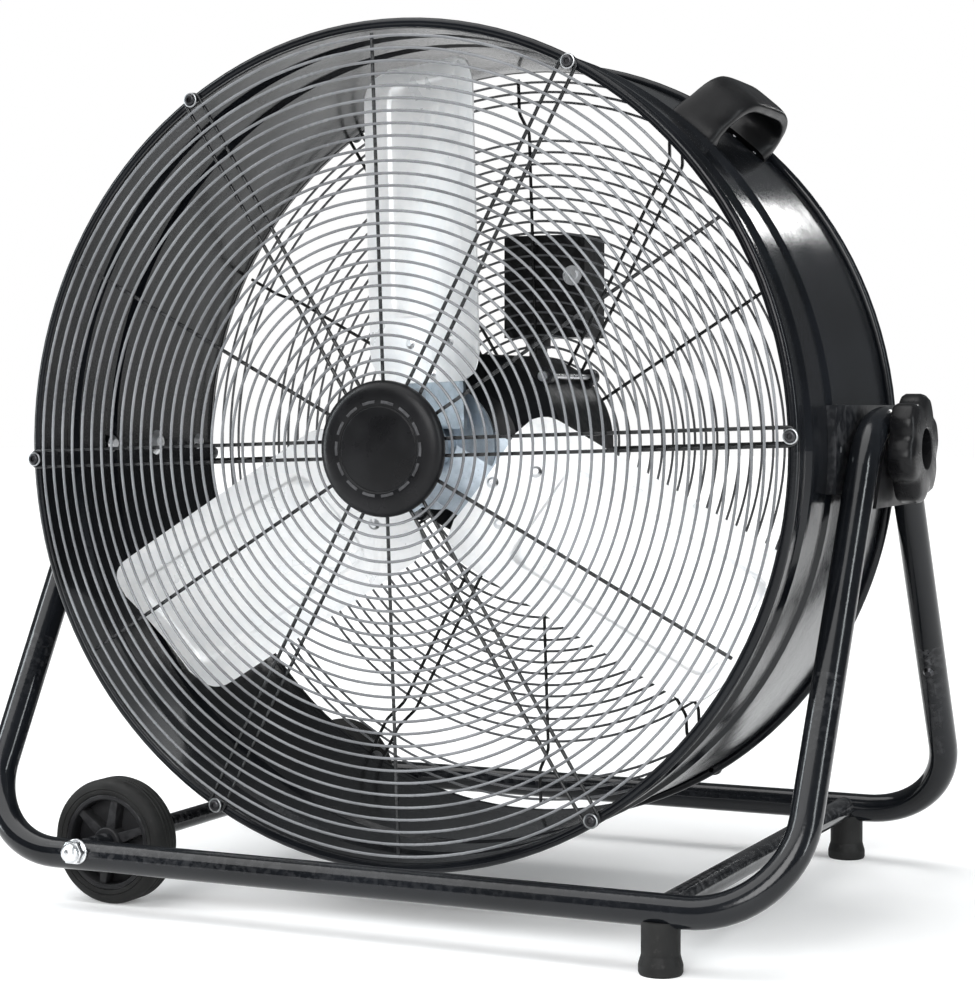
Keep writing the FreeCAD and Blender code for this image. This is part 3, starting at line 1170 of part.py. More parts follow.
def axle_and_wheels():
    """Axle through both base tubes with cap nuts outside, a spacer tube, sleeves and two wheels."""
    end = dim.base_half + dim.tube_radius + 3
    centre = Vector(-dim.wheel_across, 0, dim.axle_height)
    rod = bind(DOC.addObject("Part::Cylinder", "axle_rod"), Radius="Dim.axle_radius",
               Height="2 * (Dim.base_half + Dim.tube_radius + 3)")
    keep(rod, "axle_rod", Placement(centre - Y_AXIS * end, Rotation(Z_AXIS, Y_AXIS)))
    nuts = []
    sleeves = []
    hole = "Dim.axle_radius + Dim.running_gap"
    for word, side in (("front", -1), ("rear", 1)):
        way = Y_AXIS * side
        seat = Rotation(Z_AXIS, way)
        body = turned(f"{word}_cap_nut", [
            (hole, "0"), ("10", "0"), ("10", "1.8"), ("8.8", "1.8"), ("8.8", "8"), ("6.5", "12.5"), ("3", "15"),
            ("0", "15"), ("0", "5"), (hole, "5")])
        body.Placement = Placement(centre + way * (dim.base_half + dim.tube_radius + 0.05), seat)
        nuts.append(body)
        gap_near = dim.wheel_face + 0.4
        length = dim.base_half - gap_near
        outer = bind(DOC.addObject("Part::Cylinder", f"{word}_sleeve_skin"), Radius="Dim.axle_radius + 3")
        outer.Height = length
        outer.Placement = Placement(centre + way * gap_near, seat)
        inner = cylinder(f"{word}_sleeve_hole", hole, "80", centre + way * (gap_near - 10), way)
        round_tube = cylinder(f"{word}_sleeve_trim", "Dim.tube_radius + 0.02", "80",
                              Vector(-dim.wheel_across - 40, side * dim.base_half, dim.tube_height), X_AXIS)
        sleeves.append(cut(f"{word}_sleeve", outer, [inner, round_tube]))
    solids_group("axle_cap_nuts", nuts)
    half = dim.wheel_face - dim.wheel_width - 0.4
    skin = bind(DOC.addObject("Part::Cylinder", "spacer_skin"), Radius="Dim.axle_radius + 3",
                Height="2 * (Dim.wheel_face - Dim.wheel_width - 0.4)")
    skin.Placement = Placement(centre - Y_AXIS * half, Rotation(Z_AXIS, Y_AXIS))
    inner = cylinder("spacer_hole", hole, "600", centre - Y_AXIS * 300, Y_AXIS)
    solids_group("axle_spacers", [cut("middle_spacer", skin, [inner])] + sleeves)

    for word, side in (("front", -1), ("rear", 1)):
        way = Y_AXIS * side
        base = centre + way * (dim.wheel_face - dim.wheel_width)
        seat = Rotation(Z_AXIS, way)
        tyre = turned(f"{word}_tyre", [
            ("Dim.rim_wheel_radius + 0.03", "0"), ("Dim.wheel_radius - 4", "0"), ("Dim.wheel_radius", "5"),
            ("Dim.wheel_radius", "Dim.wheel_width - 5"), ("Dim.wheel_radius - 4", "Dim.wheel_width"),
            ("Dim.rim_wheel_radius + 0.03", "Dim.wheel_width")])
        keep(tyre, f"{word}_tyre", Placement(base, seat))
        rim = turned(f"{word}_wheel_rim", [
            ("Dim.rim_wheel_radius - 4", "1"), ("Dim.rim_wheel_radius", "1"),
            ("Dim.rim_wheel_radius", "Dim.wheel_width - 1"), ("Dim.rim_wheel_radius - 4", "Dim.wheel_width - 1")])
        rim.Placement = Placement(base, seat)
        hub = cylinder(f"{word}_hub_barrel", "12", "Dim.wheel_width", base, way)
        web = cylinder(f"{word}_hub_web", "Dim.rim_wheel_radius - 2", "4", base + way * 9, way)
        spokes = []
        for i in range(int(dim.hub_spokes)):
            turn = Rotation(way, 360 / dim.hub_spokes * i + 18)
            arm = box(f"{word}_wheel_spoke_{i}", "5", "Dim.rim_wheel_radius - 9", "Dim.wheel_width - 6")
            local = Placement(Vector(-2.5, 8, 3), Rotation())
            arm.Placement = Placement(base, turn.multiply(seat)).multiply(local)
            spokes.append(arm)
        bore = cylinder(f"{word}_hub_bore", hole, "60", base - way * 10, way)
        blank = fuse(f"{word}_hub_blank", [rim, hub, web] + spokes)
        keep(cut(f"{word}_wheel_hub", blank, [bore]), f"{word}_wheel_hub")


def check_and_write():
    """Stops on any failed object, then writes one STEP file for each node."""
    DOC.recompute()
    bad = [obj.Label for obj in DOC.Objects if any(mark in obj.State for mark in ("Invalid", "Error"))]
    if bad:
        raise RuntimeError("failed objects: " + ", ".join(bad))
    os.makedirs("parts", exist_ok=True)
    for obj in nodes:
        shape = obj.Shape
        if shape.isNull() or not shape.isValid() or not shape.Solids:
            raise RuntimeError("bad shape: " + obj.Label)
        shape.exportStep(os.path.join("parts", obj.Label + ".step"))
        print(f"{obj.Label}: {len(shape.Solids)} solid(s), {shape.Volume / 1000:.1f} cm3")
    print(len(nodes), "nodes")


drum_shell()
front_guard()
rear_guard()
guard_screws()
centre_cap()
for number, blade_angle in enumerate(BLADE_ANGLES, start=1):
    fan_blade(number, blade_angle)
blade_spider()
blade_rivets()
motor()
motor_mount()
switch_box()
carry_handle()
pivots()
stand_tubes()
cross_tube_and_feet()
axle_and_wheels()
check_and_write()
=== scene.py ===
import json
import math

import bmesh
import bpy
from mathutils import Matrix, Vector


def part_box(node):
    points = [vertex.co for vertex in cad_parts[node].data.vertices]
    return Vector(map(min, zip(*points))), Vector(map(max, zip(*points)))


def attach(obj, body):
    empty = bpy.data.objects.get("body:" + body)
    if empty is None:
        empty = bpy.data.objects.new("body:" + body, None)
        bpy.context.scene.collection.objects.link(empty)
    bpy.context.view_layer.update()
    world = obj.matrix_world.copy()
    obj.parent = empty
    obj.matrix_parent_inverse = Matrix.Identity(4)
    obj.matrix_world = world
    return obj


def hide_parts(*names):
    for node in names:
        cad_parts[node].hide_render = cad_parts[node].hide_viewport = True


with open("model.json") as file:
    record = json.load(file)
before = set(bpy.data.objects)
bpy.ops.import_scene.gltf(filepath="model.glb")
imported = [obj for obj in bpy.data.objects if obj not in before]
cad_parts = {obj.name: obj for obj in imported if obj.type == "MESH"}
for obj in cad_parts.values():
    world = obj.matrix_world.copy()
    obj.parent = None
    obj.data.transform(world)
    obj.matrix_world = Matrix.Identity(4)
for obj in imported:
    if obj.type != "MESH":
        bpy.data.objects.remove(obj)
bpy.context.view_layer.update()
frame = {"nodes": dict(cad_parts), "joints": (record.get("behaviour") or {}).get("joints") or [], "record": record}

NODES = frame["nodes"]
PIVOT = Vector(next(j["pos_m"] for j in frame["joints"] if j["name"] == "drum_tilt"))
FRONT = Matrix(((1, 0, 0), (0, 0, -1), (0, 1, 0))).to_4x4()
REAR = Matrix(((1, 0, 0), (0, 0, 1), (0, -1, 0))).to_4x4()
RIGHT = Matrix(((0, 0, 1), (1, 0, 0), (0, 1, 0))).to_4x4()
LEFT = Matrix(((0, 0, -1), (-1, 0, 0), (0, 1, 0))).to_4x4()


# ------------------------------------------------------------ finishes


class Finish:
    """Node-based surface: base colour with variation, roughness, bump, worn edges and settled dust."""

    def __init__(self, name, metallic=0.0, coat=0.0, specular=0.5):
        self.mat = bpy.data.materials.new(name)
        self.mat.use_nodes = True
        self.tree = self.mat.node_tree
        self.shader = self.tree.nodes["Principled BSDF"]
        self.shader.inputs["Metallic"].default_value = metallic
        self.shader.inputs["Coat Weight"].default_value = coat
        self.shader.inputs["Coat Roughness"].default_value = 0.08
        self.shader.inputs["Specular IOR Level"].default_value = specular
        self.place = self.add("ShaderNodeTexCoord").outputs["Object"]
        self.geometry = self.add("ShaderNodeNewGeometry")

    def add(self, kind, **settings):
        made = self.tree.nodes.new(kind)
        for key, setting in settings.items():
            setattr(made, key, setting)
        return made

    def link(self, source, target):
        self.tree.links.new(source, target)

    def stretched(self, scale):
        mapping = self.add("ShaderNodeMapping")
        mapping.inputs["Scale"].default_value = scale
        self.link(self.place, mapping.inputs["Vector"])
        return mapping.outputs["Vector"]

    def noise(self, scale, detail=3.0, vector=None, distortion=0.0):
        made = self.add("ShaderNodeTexNoise")
        made.inputs["Scale"].default_value = scale
        made.inputs["Detail"].default_value = detail
        made.inputs["Distortion"].default_value = distortion
        self.link(vector or self.place, made.inputs["Vector"])
        return made.outputs["Fac"]

    def remap(self, value, low, high, to_low, to_high):
        made = self.add("ShaderNodeMapRange")
        for socket, number in zip(("From Min", "From Max", "To Min", "To Max"), (low, high, to_low, to_high)):
            made.inputs[socket].default_value = number
        self.link(value, made.inputs["Value"])
        return made.outputs["Result"]

    def math(self, operation, first, second):
        made = self.add("ShaderNodeMath", operation=operation)
        for socket, value in zip(made.inputs, (first, second)):
            if isinstance(value, (int, float)):
                socket.default_value = value
            else:
                self.link(value, socket)
        return made.outputs["Value"]

    def mix(self, factor, first, second):
        made = self.add("ShaderNodeMix", data_type="RGBA")
        self.link(factor, made.inputs["Factor"])
        for socket, value in ((made.inputs["A"], first), (made.inputs["B"], second)):
            if isinstance(value, tuple):
                socket.default_value = (*value, 1.0)
            else:
                self.link(value, socket)
        return made.outputs["Result"]

    def colour(self, source):
        self.link(source, self.shader.inputs["Base Color"])
        return self

    def roughness(self, source):
        self.link(source, self.shader.inputs["Roughness"])
        return self

    def bump(self, heights, strength=1.0):
        """Stacks bumps given as (height output, distance in metres)."""
        last = None
        for height, distance in heights:
            made = self.add("ShaderNodeBump")
            made.inputs["Strength"].default_value = strength
            made.inputs["Distance"].default_value = distance
            self.link(height, made.inputs["Height"])
            if last is not None:
                self.link(last, made.inputs["Normal"])
            last = made.outputs["Normal"]
        self.link(last, self.shader.inputs["Normal"])
        return self

    def worn(self, low=0.53, high=0.6):
        """Mask of convex edges, broken up by noise."""
        edge = self.remap(self.geometry.outputs["Pointiness"], low, high, 0.0, 1.0)
        return self.math("MULTIPLY", edge, self.remap(self.noise(180, 4), 0.45, 0.62, 0.0, 1.0))

    def dust(self, amount):
        """Mask of faces that look up, broken up by noise."""
        split = self.add("ShaderNodeSeparateXYZ")
        self.link(self.geometry.outputs["Normal"], split.inputs["Vector"])
        up = self.remap(split.outputs["Z"], 0.3, 1.0, 0.0, amount)
        return self.math("MULTIPLY", up, self.remap(self.noise(55, 5), 0.4, 0.7, 0.2, 1.0))


def enamel(name, dark=(0.003, 0.0035, 0.0045), light=(0.007, 0.008, 0.010), gloss=0.12, coat=0.12,
           sheen=0.34):
    """Gloss black stoved enamel: slight orange peel, smears, dust on top and thin edges."""
    f = Finish(name, coat=coat, specular=sheen)
    base = f.mix(f.remap(f.noise(14, 4), 0.35, 0.7, 0.0, 1.0), dark, light)
    base = f.mix(f.dust(0.05), base, (0.1, 0.1, 0.098))
    base = f.mix(f.math("MULTIPLY", f.worn(0.56, 0.66), 0.35), base, (0.12, 0.12, 0.125))
    smears = f.math("ADD", f.remap(f.noise(9, 5, distortion=1.2), 0.4, 0.75, gloss, gloss + 0.12),
                    f.remap(f.noise(260, 2), 0.4, 0.7, 0.0, 0.05))
    return f.colour(base).roughness(smears).bump([(f.noise(420, 2), 0.00006), (f.noise(70, 2), 0.00012)]).mat


def moulded(name, dark, light, rough=0.38, grain=0.00006, scale=1500):
    """Injection-moulded black plastic: fine spark grain, paler rubbed edges and a little dust."""
    f = Finish(name, specular=0.15)
    base = f.mix(f.remap(f.noise(30, 4), 0.35, 0.7, 0.0, 1.0), dark, light)
    base = f.mix(f.dust(0.06), base, (0.12, 0.12, 0.117))
    base = f.mix(f.math("MULTIPLY", f.worn(0.53, 0.62), 0.5), base, tuple(3 * c for c in light))
    shine = f.remap(f.noise(45, 5), 0.35, 0.7, rough - 0.06, rough + 0.1)
    return f.colour(base).roughness(shine).bump([(f.noise(scale, 2), grain), (f.noise(60, 2), 0.0001)]).mat


def plated(name, dark, light, rough=0.24, scale=700):
    """Zinc-plated steel: cloudy bright plate with dull spots."""
    f = Finish(name, metallic=1.0)
    cloud = f.remap(f.noise(90, 5), 0.35, 0.7, 0.0, 1.0)
    base = f.mix(cloud, dark, light)
    base = f.mix(f.remap(f.noise(600, 3), 0.6, 0.75, 0.0, 0.4), base, tuple(0.4 * c for c in dark))
    shine = f.remap(f.noise(150, 5), 0.35, 0.7, rough, rough + 0.18)
    return f.colour(base).roughness(shine).bump([(f.noise(scale, 3), 0.00003)]).mat


def galvanised(name):
    """Hot-dip galvanised sheet: crystal spangle, rolling streaks, stains and dull grey patches."""
    f = Finish(name, metallic=0.3, specular=0.6)
    spangle = f.add("ShaderNodeTexVoronoi", feature="F1")
    spangle.inputs["Scale"].default_value = 120
    f.link(f.place, spangle.inputs["Vector"])
    grey = f.add("ShaderNodeRGBToBW")
    f.link(spangle.outputs["Color"], grey.inputs["Color"])
    base = f.mix(f.remap(grey.outputs["Val"], 0.2, 0.8, 0.0, 1.0), (0.91, 0.925, 0.94), (0.97, 0.975, 0.98))
    streaks = f.remap(f.noise(6, 5, f.stretched((1, 1, 6))), 0.5, 0.75, 0.0, 0.3)
    base = f.mix(streaks, base, (0.74, 0.78, 0.82))
    base = f.mix(f.remap(f.noise(24, 6), 0.6, 0.75, 0.0, 0.3), base, (0.74, 0.77, 0.8))
    shine = f.math("ADD", f.remap(grey.outputs["Val"], 0.2, 0.8, 0.27, 0.36),
                   f.remap(f.noise(18, 5), 0.4, 0.7, 0.0, 0.1))
    relief = [(f.noise(350, 3), 0.00004), (grey.outputs["Val"], 0.00002)]
    return f.colour(base).roughness(shine).bump(relief).mat


def rubber(name, dark=(0.006, 0.006, 0.006), light=(0.014, 0.014, 0.0135), rough=0.72):
    """Black rubber: matt, dusty, with scuffs."""
    f = Finish(name, specular=0.2)
    base = f.mix(f.remap(f.noise(60, 5), 0.35, 0.7, 0.0, 1.0), dark, light)
    base = f.mix(f.dust(0.14), base, (0.1, 0.098, 0.094))
    base = f.mix(f.remap(f.noise(240, 5), 0.62, 0.75, 0.0, 0.4), base, (0.04, 0.039, 0.038))
    shine = f.remap(f.noise(120, 4), 0.35, 0.7, rough - 0.12, rough + 0.1)
    return f.colour(base).roughness(shine).bump([(f.noise(900, 3), 0.00012), (f.noise(90, 3), 0.0002)]).mat


FINISHES = {
    "drum_shell": enamel("enamel_drum", gloss=0.13, coat=0.05, sheen=0.19),
    "tube_paint": enamel("enamel_tube", gloss=0.09, coat=0.16, sheen=0.24),
    "motor_paint": enamel("enamel_motor", gloss=0.3, coat=0.0, sheen=0.2),
    "box_paint": moulded("powder_coat_box", (0.005, 0.005, 0.0055), (0.012, 0.012, 0.013), 0.42,
                         0.00012, 900),
    "guard_wire": enamel("enamel_wire", (0.005, 0.0055, 0.006), (0.012, 0.013, 0.014), 0.2, 0.15, 0.28),
    # Ring wires: the same black enamelled wire as the spokes, given a mid-grey colour as a painted highlight so
    # they read light over the dark drum.
    "ring_wire": enamel("enamel_ring_painted_highlight", (0.09, 0.093, 0.1), (0.18, 0.186, 0.196), 0.2, 0.5),
    "flange_zinc": plated("flange_zinc", (0.3, 0.31, 0.32), (0.46, 0.47, 0.48), 0.28),
    "cap_mark": moulded("cap_mark", (0.03, 0.03, 0.032), (0.055, 0.055, 0.058), 0.5),
    "zinc": plated("zinc_plate", (0.62, 0.63, 0.65), (0.8, 0.81, 0.82)),
    "dark_screw": plated("black_oxide", (0.02, 0.02, 0.022), (0.055, 0.055, 0.058), 0.26),
    "cap_plastic": moulded("cap_plastic", (0.004, 0.004, 0.0045), (0.009, 0.009, 0.01), 0.3),
    "galvanised": galvanised("galvanised_sheet"),
    "spider_steel": plated("spider_steel", (0.33, 0.38, 0.43), (0.5, 0.56, 0.62), 0.3),
    "bearing_steel": plated("ground_steel", (0.6, 0.6, 0.62), (0.75, 0.75, 0.77), 0.15),
    "lamination": plated("lamination_steel", (0.2, 0.2, 0.21), (0.33, 0.33, 0.34), 0.45),
    "copper": plated("enamelled_copper", (0.45, 0.18, 0.08), (0.6, 0.28, 0.13), 0.3),
    "switch_plastic": moulded("switch_plastic", (0.02, 0.02, 0.022), (0.045, 0.045, 0.048), 0.42),
    "handle_plastic": moulded("handle_plastic", (0.004, 0.004, 0.0045), (0.01, 0.01, 0.0105), 0.34),
    "knob_plastic": moulded("knob_plastic", (0.004, 0.004, 0.0045), (0.009, 0.009, 0.0095), 0.28),
    "tyre_rubber": rubber("tyre_rubber"),
    "wheel_plastic": moulded("wheel_plastic", (0.009, 0.009, 0.01), (0.02, 0.02, 0.021), 0.4),
    "foot_rubber": rubber("foot_rubber", rough=0.6),
    "nylon": moulded("nylon", (0.6, 0.59, 0.55), (0.7, 0.69, 0.65), 0.4),
}

SLOT_OF = {s["node"]: s["material_slot"] for s in frame["record"]["subparts"]}
for node_name, cad in NODES.items():
    cad.data.materials.clear()
    cad.data.materials.append(FINISHES[SLOT_OF[node_name]])


# ------------------------------------------------------------ mesh tools


def mm(*numbers):
    """Millimetres to metres."""
    return tuple(n / 1000 for n in numbers)


def lathe(bm, profile, steps=64, closed=False):
    """Turns (radius, height) points, in millimetres, about local Z; a radius of 0 closes to a point."""
    rings = []
    for radius, height in profile:
        if radius < 1e-6:
            rings.append([bm.verts.new(mm(0, 0, height))])
            continue
        turns = [2 * math.pi * i / steps for i in range(steps)]
        rings.append([bm.verts.new(mm(radius * math.cos(a), radius * math.sin(a), height)) for a in turns])
    pairs = list(zip(rings, rings[1:]))
    if closed:
        pairs.append((rings[-1], rings[0]))
    for low, high in pairs:
        for i in range(steps):
            j = (i + 1) % steps
            if len(low) == 1:
                bm.faces.new((low[0], high[i], high[j]))
            elif len(high) == 1:
                bm.faces.new((low[i], low[j], high[0]))
            else:
                bm.faces.new((low[i], low[j], high[j], high[i]))


def prism(bm, outline, low, high):
    """Extrudes a closed outline of (x, y) points in millimetres between two heights."""
    floor_ring = [bm.verts.new(mm(x, y, low)) for x, y in outline]
    roof_ring = [bm.verts.new(mm(x, y, high)) for x, y in outline]
    count = len(outline)
    bm.faces.new(floor_ring[::-1])
    bm.faces.new(roof_ring)
    for i in range(count):
        j = (i + 1) % count
        bm.faces.new((floor_ring[i], floor_ring[j], roof_ring[j], roof_ring[i]))


def piece(bm, name, matrix, body, slot, nodes=(), finish=None, bevel=0.0, segments=2, smooth=0, sharp=35):
    """Turns a bmesh into a finished object that rides on a CAD body."""
    bm.transform(matrix)
    bmesh.ops.recalc_face_normals(bm, faces=bm.faces)
    mesh = bpy.data.meshes.new(name)
    bm.to_mesh(mesh)
    bm.free()
    mesh.materials.append(finish or FINISHES[slot])
    made = bpy.data.objects.new(name, mesh)
    bpy.context.scene.collection.objects.link(made)
    if bevel:
        mod = made.modifiers.new("edges", "BEVEL")
        mod.width = bevel
        mod.segments = segments
        mod.limit_method = "ANGLE"
        mod.angle_limit = math.radians(30)
    if smooth:
        mod = made.modifiers.new("smooth", "SUBSURF")
        mod.levels = smooth
        mod.render_levels = smooth
    if made.modifiers:
        graph = bpy.context.evaluated_depsgraph_get()
        mesh = bpy.data.meshes.new_from_object(made.evaluated_get(graph))
        made.modifiers.clear()
        made.data = mesh
    made.data.shade_smooth()
    made.data.set_sharp_from_angle(angle=math.radians(sharp))
    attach(made, body)
    if nodes:
        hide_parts(*nodes)
    return made


def joined(bm, shaper, matrix):
    """Shapes a part of its own, moves it by the matrix and adds it to the mesh."""
    part = bmesh.new()
    shaper(part)
    part.transform(matrix)
    scratch = bpy.data.meshes.new("scratch")
    part.to_mesh(scratch)
    part.free()
    bm.from_mesh(scratch)
    bpy.data.meshes.remove(scratch)


def at(matrix, place):
    return Matrix.Translation(place) @ matrix


# ------------------------------------------------------------ pieces


def centre_cap():
    """Black domed cap: rounded shoulder, a ring of raised dashes and a sunken centre disc."""
    low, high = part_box("centre_cap")
    base = Vector((PIVOT.x, low.y + 0.011, PIVOT.z))
    bm = bmesh.new()
    lathe(bm, [(0, 0), (51.2, 0), (52, 0.8), (52, 3.4), (51.2, 5.6), (49.6, 7.6), (47, 9.2), (43.5, 10.2),
               (40, 10.5), (33.6, 10.5), (33, 9.7), (32.2, 9.7), (31.6, 10.3), (0, 10.3)], 96)
    piece(bm, "centre_cap_dome", at(FRONT, base), "drum", "cap_plastic", ["centre_cap"], bevel=0.0003)
    bm = bmesh.new()
    for i in range(14):
        middle = 2 * math.pi * i / 14
        spread = math.radians(8.5)
        outline = [(34.6, middle - spread), (36.8, middle - spread), (36.8, middle), (36.8, middle + spread),
                   (34.6, middle + spread), (34.6, middle)]
        prism(bm, [(r * math.cos(a), r * math.sin(a)) for r, a in outline], 10.2, 11)
    piece(bm, "centre_cap_dashes", at(FRONT, base), "drum", "cap_plastic", ["centre_cap"],
          FINISHES["cap_mark"], bevel=0.0002)


def lobed(radius, bite, reach, lobes, steps=180):
    """Outline of a knob: a circle with round bites, softened at the corners."""
    raw = []
    for i in range(steps):
        a = 2 * math.pi * i / steps
        near = (a + math.pi / lobes) % (2 * math.pi / lobes) - math.pi / lobes
        inside = bite ** 2 - (reach * math.sin(near)) ** 2
        raw.append(min(radius, reach * math.cos(near) - math.sqrt(inside)) if inside > 0 else radius)
    soft = []
    for i in range(steps):
        window = [raw[(i + k) % steps] for k in range(-4, 5)]
        soft.append(sum(window) / len(window))
    return soft


def tilt_knobs():
    """Lobed clamp knobs with rounded rims and a round well that shows the bolt's end."""
    for word, turn in (("right", RIGHT), ("left", LEFT)):
        low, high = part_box(f"{word}_tilt_knob")
        near = low.x if word == "right" else high.x
        rim = lobed(42, 14, 50, 6)
        steps = len(rim)
        bm = bmesh.new()
        rings = []
        for shrink, height in ((5, 0), (1.6, 0.9), (0, 3.5), (0, 14.5), (0.9, 17.6), (3.2, 19.8), (7, 20.9)):
            rings.append([(r - shrink, height) for r in rim])
        for radius, height in ((19, 21), (16.4, 21), (15.5, 20.2), (15.5, 11)):
            rings.append([(radius, height)] * steps)
        turns = [2 * math.pi * i / steps for i in range(steps)]
        grid = []
        for ring in rings:
            grid.append([bm.verts.new(mm(r * math.cos(a), r * math.sin(a), h))
                         for a, (r, h) in zip(turns, ring)])
        for low_ring, high_ring in zip(grid, grid[1:]):
            for i in range(steps):
                j = (i + 1) % steps
                bm.faces.new((low_ring[i], low_ring[j], high_ring[j], high_ring[i]))
        bm.faces.new(grid[0][::-1])
        bm.faces.new(grid[-1])
        spin = Matrix.Rotation(math.radians(-13 if word == "right" else 193), 4, "Z")
        piece(bm, f"{word}_knob_grip", at(turn, Vector((near, PIVOT.y, PIVOT.z))) @ spin, f"{word}_knob",
              "knob_plastic", [f"{word}_tilt_knob"])


def wheels():
    """Rubber tyres with rounded shoulders and a grooved tread, on six-spoked moulded hubs."""
    for word, turn in (("front", FRONT), ("rear", REAR)):
        low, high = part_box(f"{word}_tyre")
        middle = (low + high) / 2
        base = Vector((middle.x, high.y if word == "front" else low.y, middle.z))
        tyre = (high.z - low.z) * 500
        width = (high.y - low.y) * 1000
        rim = 38
        bm = bmesh.new()
        side = [(rim + 0.2, 1.2), (rim + 1.6, 0.3), (rim + 3.4, 0.2), (rim + 4, 0.9), (rim + 4.6, 0.3),
                (tyre - 4.4, 0.6), (tyre - 2.2, 1.7), (tyre - 0.8, 3.6)]
        tread = [(tyre, 6)]
        for groove in (9, 13.9, 18.8):
            tread += [(tyre, groove), (tyre - 0.7, groove + 0.4), (tyre - 0.7, groove + 1.4),
                      (tyre, groove + 1.8)]
        tread.append((tyre, width - 6))
        lathe(bm, side + tread + [(r, width - h) for r, h in side[::-1]], 96, closed=True)
        piece(bm, f"{word}_tyre_round", at(turn, base), f"{word}_wheel", "tyre_rubber", [f"{word}_tyre"],
              sharp=50)
        bm = bmesh.new()
        lathe(bm, [(rim - 4, 1.6), (rim - 3, 1), (rim - 0.6, 1), (rim, 1.6), (rim, width - 1.6),
                   (rim - 0.6, width - 1), (rim - 3, width - 1), (rim - 4, width - 1.6),
                   (rim - 4.4, width / 2)], 72, closed=True)
        lathe(bm, [(5.06, 0), (11, 0), (12, 1), (12, width - 1), (11, width), (5.06, width)], 48, closed=True)
        web = [(11, width / 2 - 2), (rim - 3, width / 2 - 2), (rim - 3, width / 2 + 1), (11, width / 2 + 1)]
        lathe(bm, web, 72, closed=True)
        for i in range(6):
            outline = [(10, -4.2), (rim - 3, -2.8), (rim - 3, 2.8), (10, 4.2)]
            joined(bm, lambda part: prism(part, outline, 3, width - 3.5),
                   Matrix.Rotation(math.radians(60 * i + 20), 4, "Z"))
        piece(bm, f"{word}_hub_spoked", at(turn, base), f"{word}_wheel", "wheel_plastic",
              [f"{word}_wheel_hub"], bevel=0.0006)


def dome_nut(bm):
    lathe(bm, [(5.1, 0), (10, 0), (10, 1.2), (9.4, 1.8), (5.1, 1.8)], 48, closed=True)
    corners = [math.radians(60 * i) for i in range(6)]
    prism(bm, [(9.6 * math.cos(a), 9.6 * math.sin(a)) for a in corners], 1.8, 8.2)
    lathe(bm, [(8, 8.2), (7.6, 9.8), (6.6, 12), (4.6, 13.9), (2.4, 14.8), (0, 15)], 32)


def cap_nuts():
    """Hexagonal dome nuts with a flange, bright zinc."""
    low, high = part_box("axle_cap_nuts")
    middle = (low + high) / 2
    bm = bmesh.new()
    for y, turn in ((low.y + 0.015, FRONT), (high.y - 0.015, REAR)):
        joined(bm, dome_nut, at(turn, Vector((middle.x, y, middle.z))))
    piece(bm, "axle_dome_nuts", Matrix(), "stand", "zinc", ["axle_cap_nuts"], bevel=0.0005)


def smooth_path(points, between=6):
    """Points along a smooth curve that passes through all the given ones."""
    marks = [Vector(p) for p in points]
    ends = [marks[0] * 2 - marks[1]] + marks + [marks[-1] * 2 - marks[-2]]
    path = []
    for i in range(1, len(ends) - 2):
        before, start, stop, after = ends[i - 1:i + 3]
        for step in range(between):
            t = step / between
            path.append(0.5 * ((2 * start) + (stop - before) * t
                               + (2 * before - 5 * start + 4 * stop - after) * t ** 2
                               + (3 * start - before - 3 * stop + after) * t ** 3))
    return path + [marks[-1]]


def sweep(bm, path, section, sides, closed=False):
    """Carries section(i) outlines of (side, up) pairs along a path; sides(i) gives their directions."""
    rings = []
    for i, point in enumerate(path):
        across, up = sides(i)
        rings.append([bm.verts.new(point + across * a + up * b) for a, b in section(i)])
    pairs = list(zip(rings, rings[1:]))
    if closed:
        pairs.append((rings[-1], rings[0]))
    count = len(rings[0])
    for low, high in pairs:
        for i in range(count):
            j = (i + 1) % count
            bm.faces.new((low[i], low[j], high[j], high[i]))
    if not closed:
        bm.faces.new(rings[0][::-1])
        bm.faces.new(rings[-1])


def soft_band(half_width, half_thick, steps=28, power=4.0):
    """Outline of a flat bar with generously rounded edges."""
    outline = []
    for i in range(steps):
        a = 2 * math.pi * i / steps
        c, d = math.cos(a), math.sin(a)
        outline.append((half_width * math.copysign(abs(c) ** (2 / power), c),
                        half_thick * math.copysign(abs(d) ** (2 / power), d)))
    return outline


def carry_handle():
    """Moulded bail handle: one broad soft-edged band that leaves the drum, runs along it and returns."""
    low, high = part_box("carry_handle")
    angle = math.radians(50)
    out = Vector((math.cos(angle), 0, math.sin(angle)))
    side = out.cross(Vector((0, 1, 0)))
    base = PIVOT + out * 0.3185
    front, rear = low.y, high.y
    spine = smooth_path([
        (front + 0.011, 0.000, 0), (front + 0.012, 0.008, 0), (front + 0.018, 0.019, 0),
        (front + 0.027, 0.030, 0), (front + 0.039, 0.0365, 0), (front + 0.056, 0.0385, 0),
        (rear - 0.050, 0.0385, 0), (rear - 0.032, 0.0375, 0), (rear - 0.017, 0.0325, 0),
        (rear - 0.008, 0.0235, 0), (rear - 0.0075, 0.012, 0), (rear - 0.013, 0.000, 0)])
    path = [base + Vector((0, p.x, 0)) + out * p.y for p in spine]
    count = len(path)

    def directions(i):
        ahead = (path[min(i + 1, count - 1)] - path[max(i - 1, 0)]).normalized()
        return side, side.cross(ahead)

    def outline(i):
        foot = max(0.0, 1 - min(i, count - 1 - i) / 11)
        return soft_band(0.0195 + 0.0025 * foot, 0.0052 + 0.0055 * foot ** 1.5)

    bm = bmesh.new()
    sweep(bm, path, outline, directions)
    piece(bm, "handle_bail", Matrix(), "drum", "handle_plastic", ["carry_handle"], sharp=60)


# ------------------------------------------------------------ wire guards

SCREW_CIRCLE = 0.3205
LOOP_CIRCLE = 0.3182
RING_GAUGE = 0.00112
SPOKE_GAUGE = 0.00145


def round_section(gauge, around):
    """Points of a wire's round section."""
    turns = [2 * math.pi * k / around for k in range(around)]
    return [(gauge * math.cos(a), gauge * math.sin(a)) for a in turns]



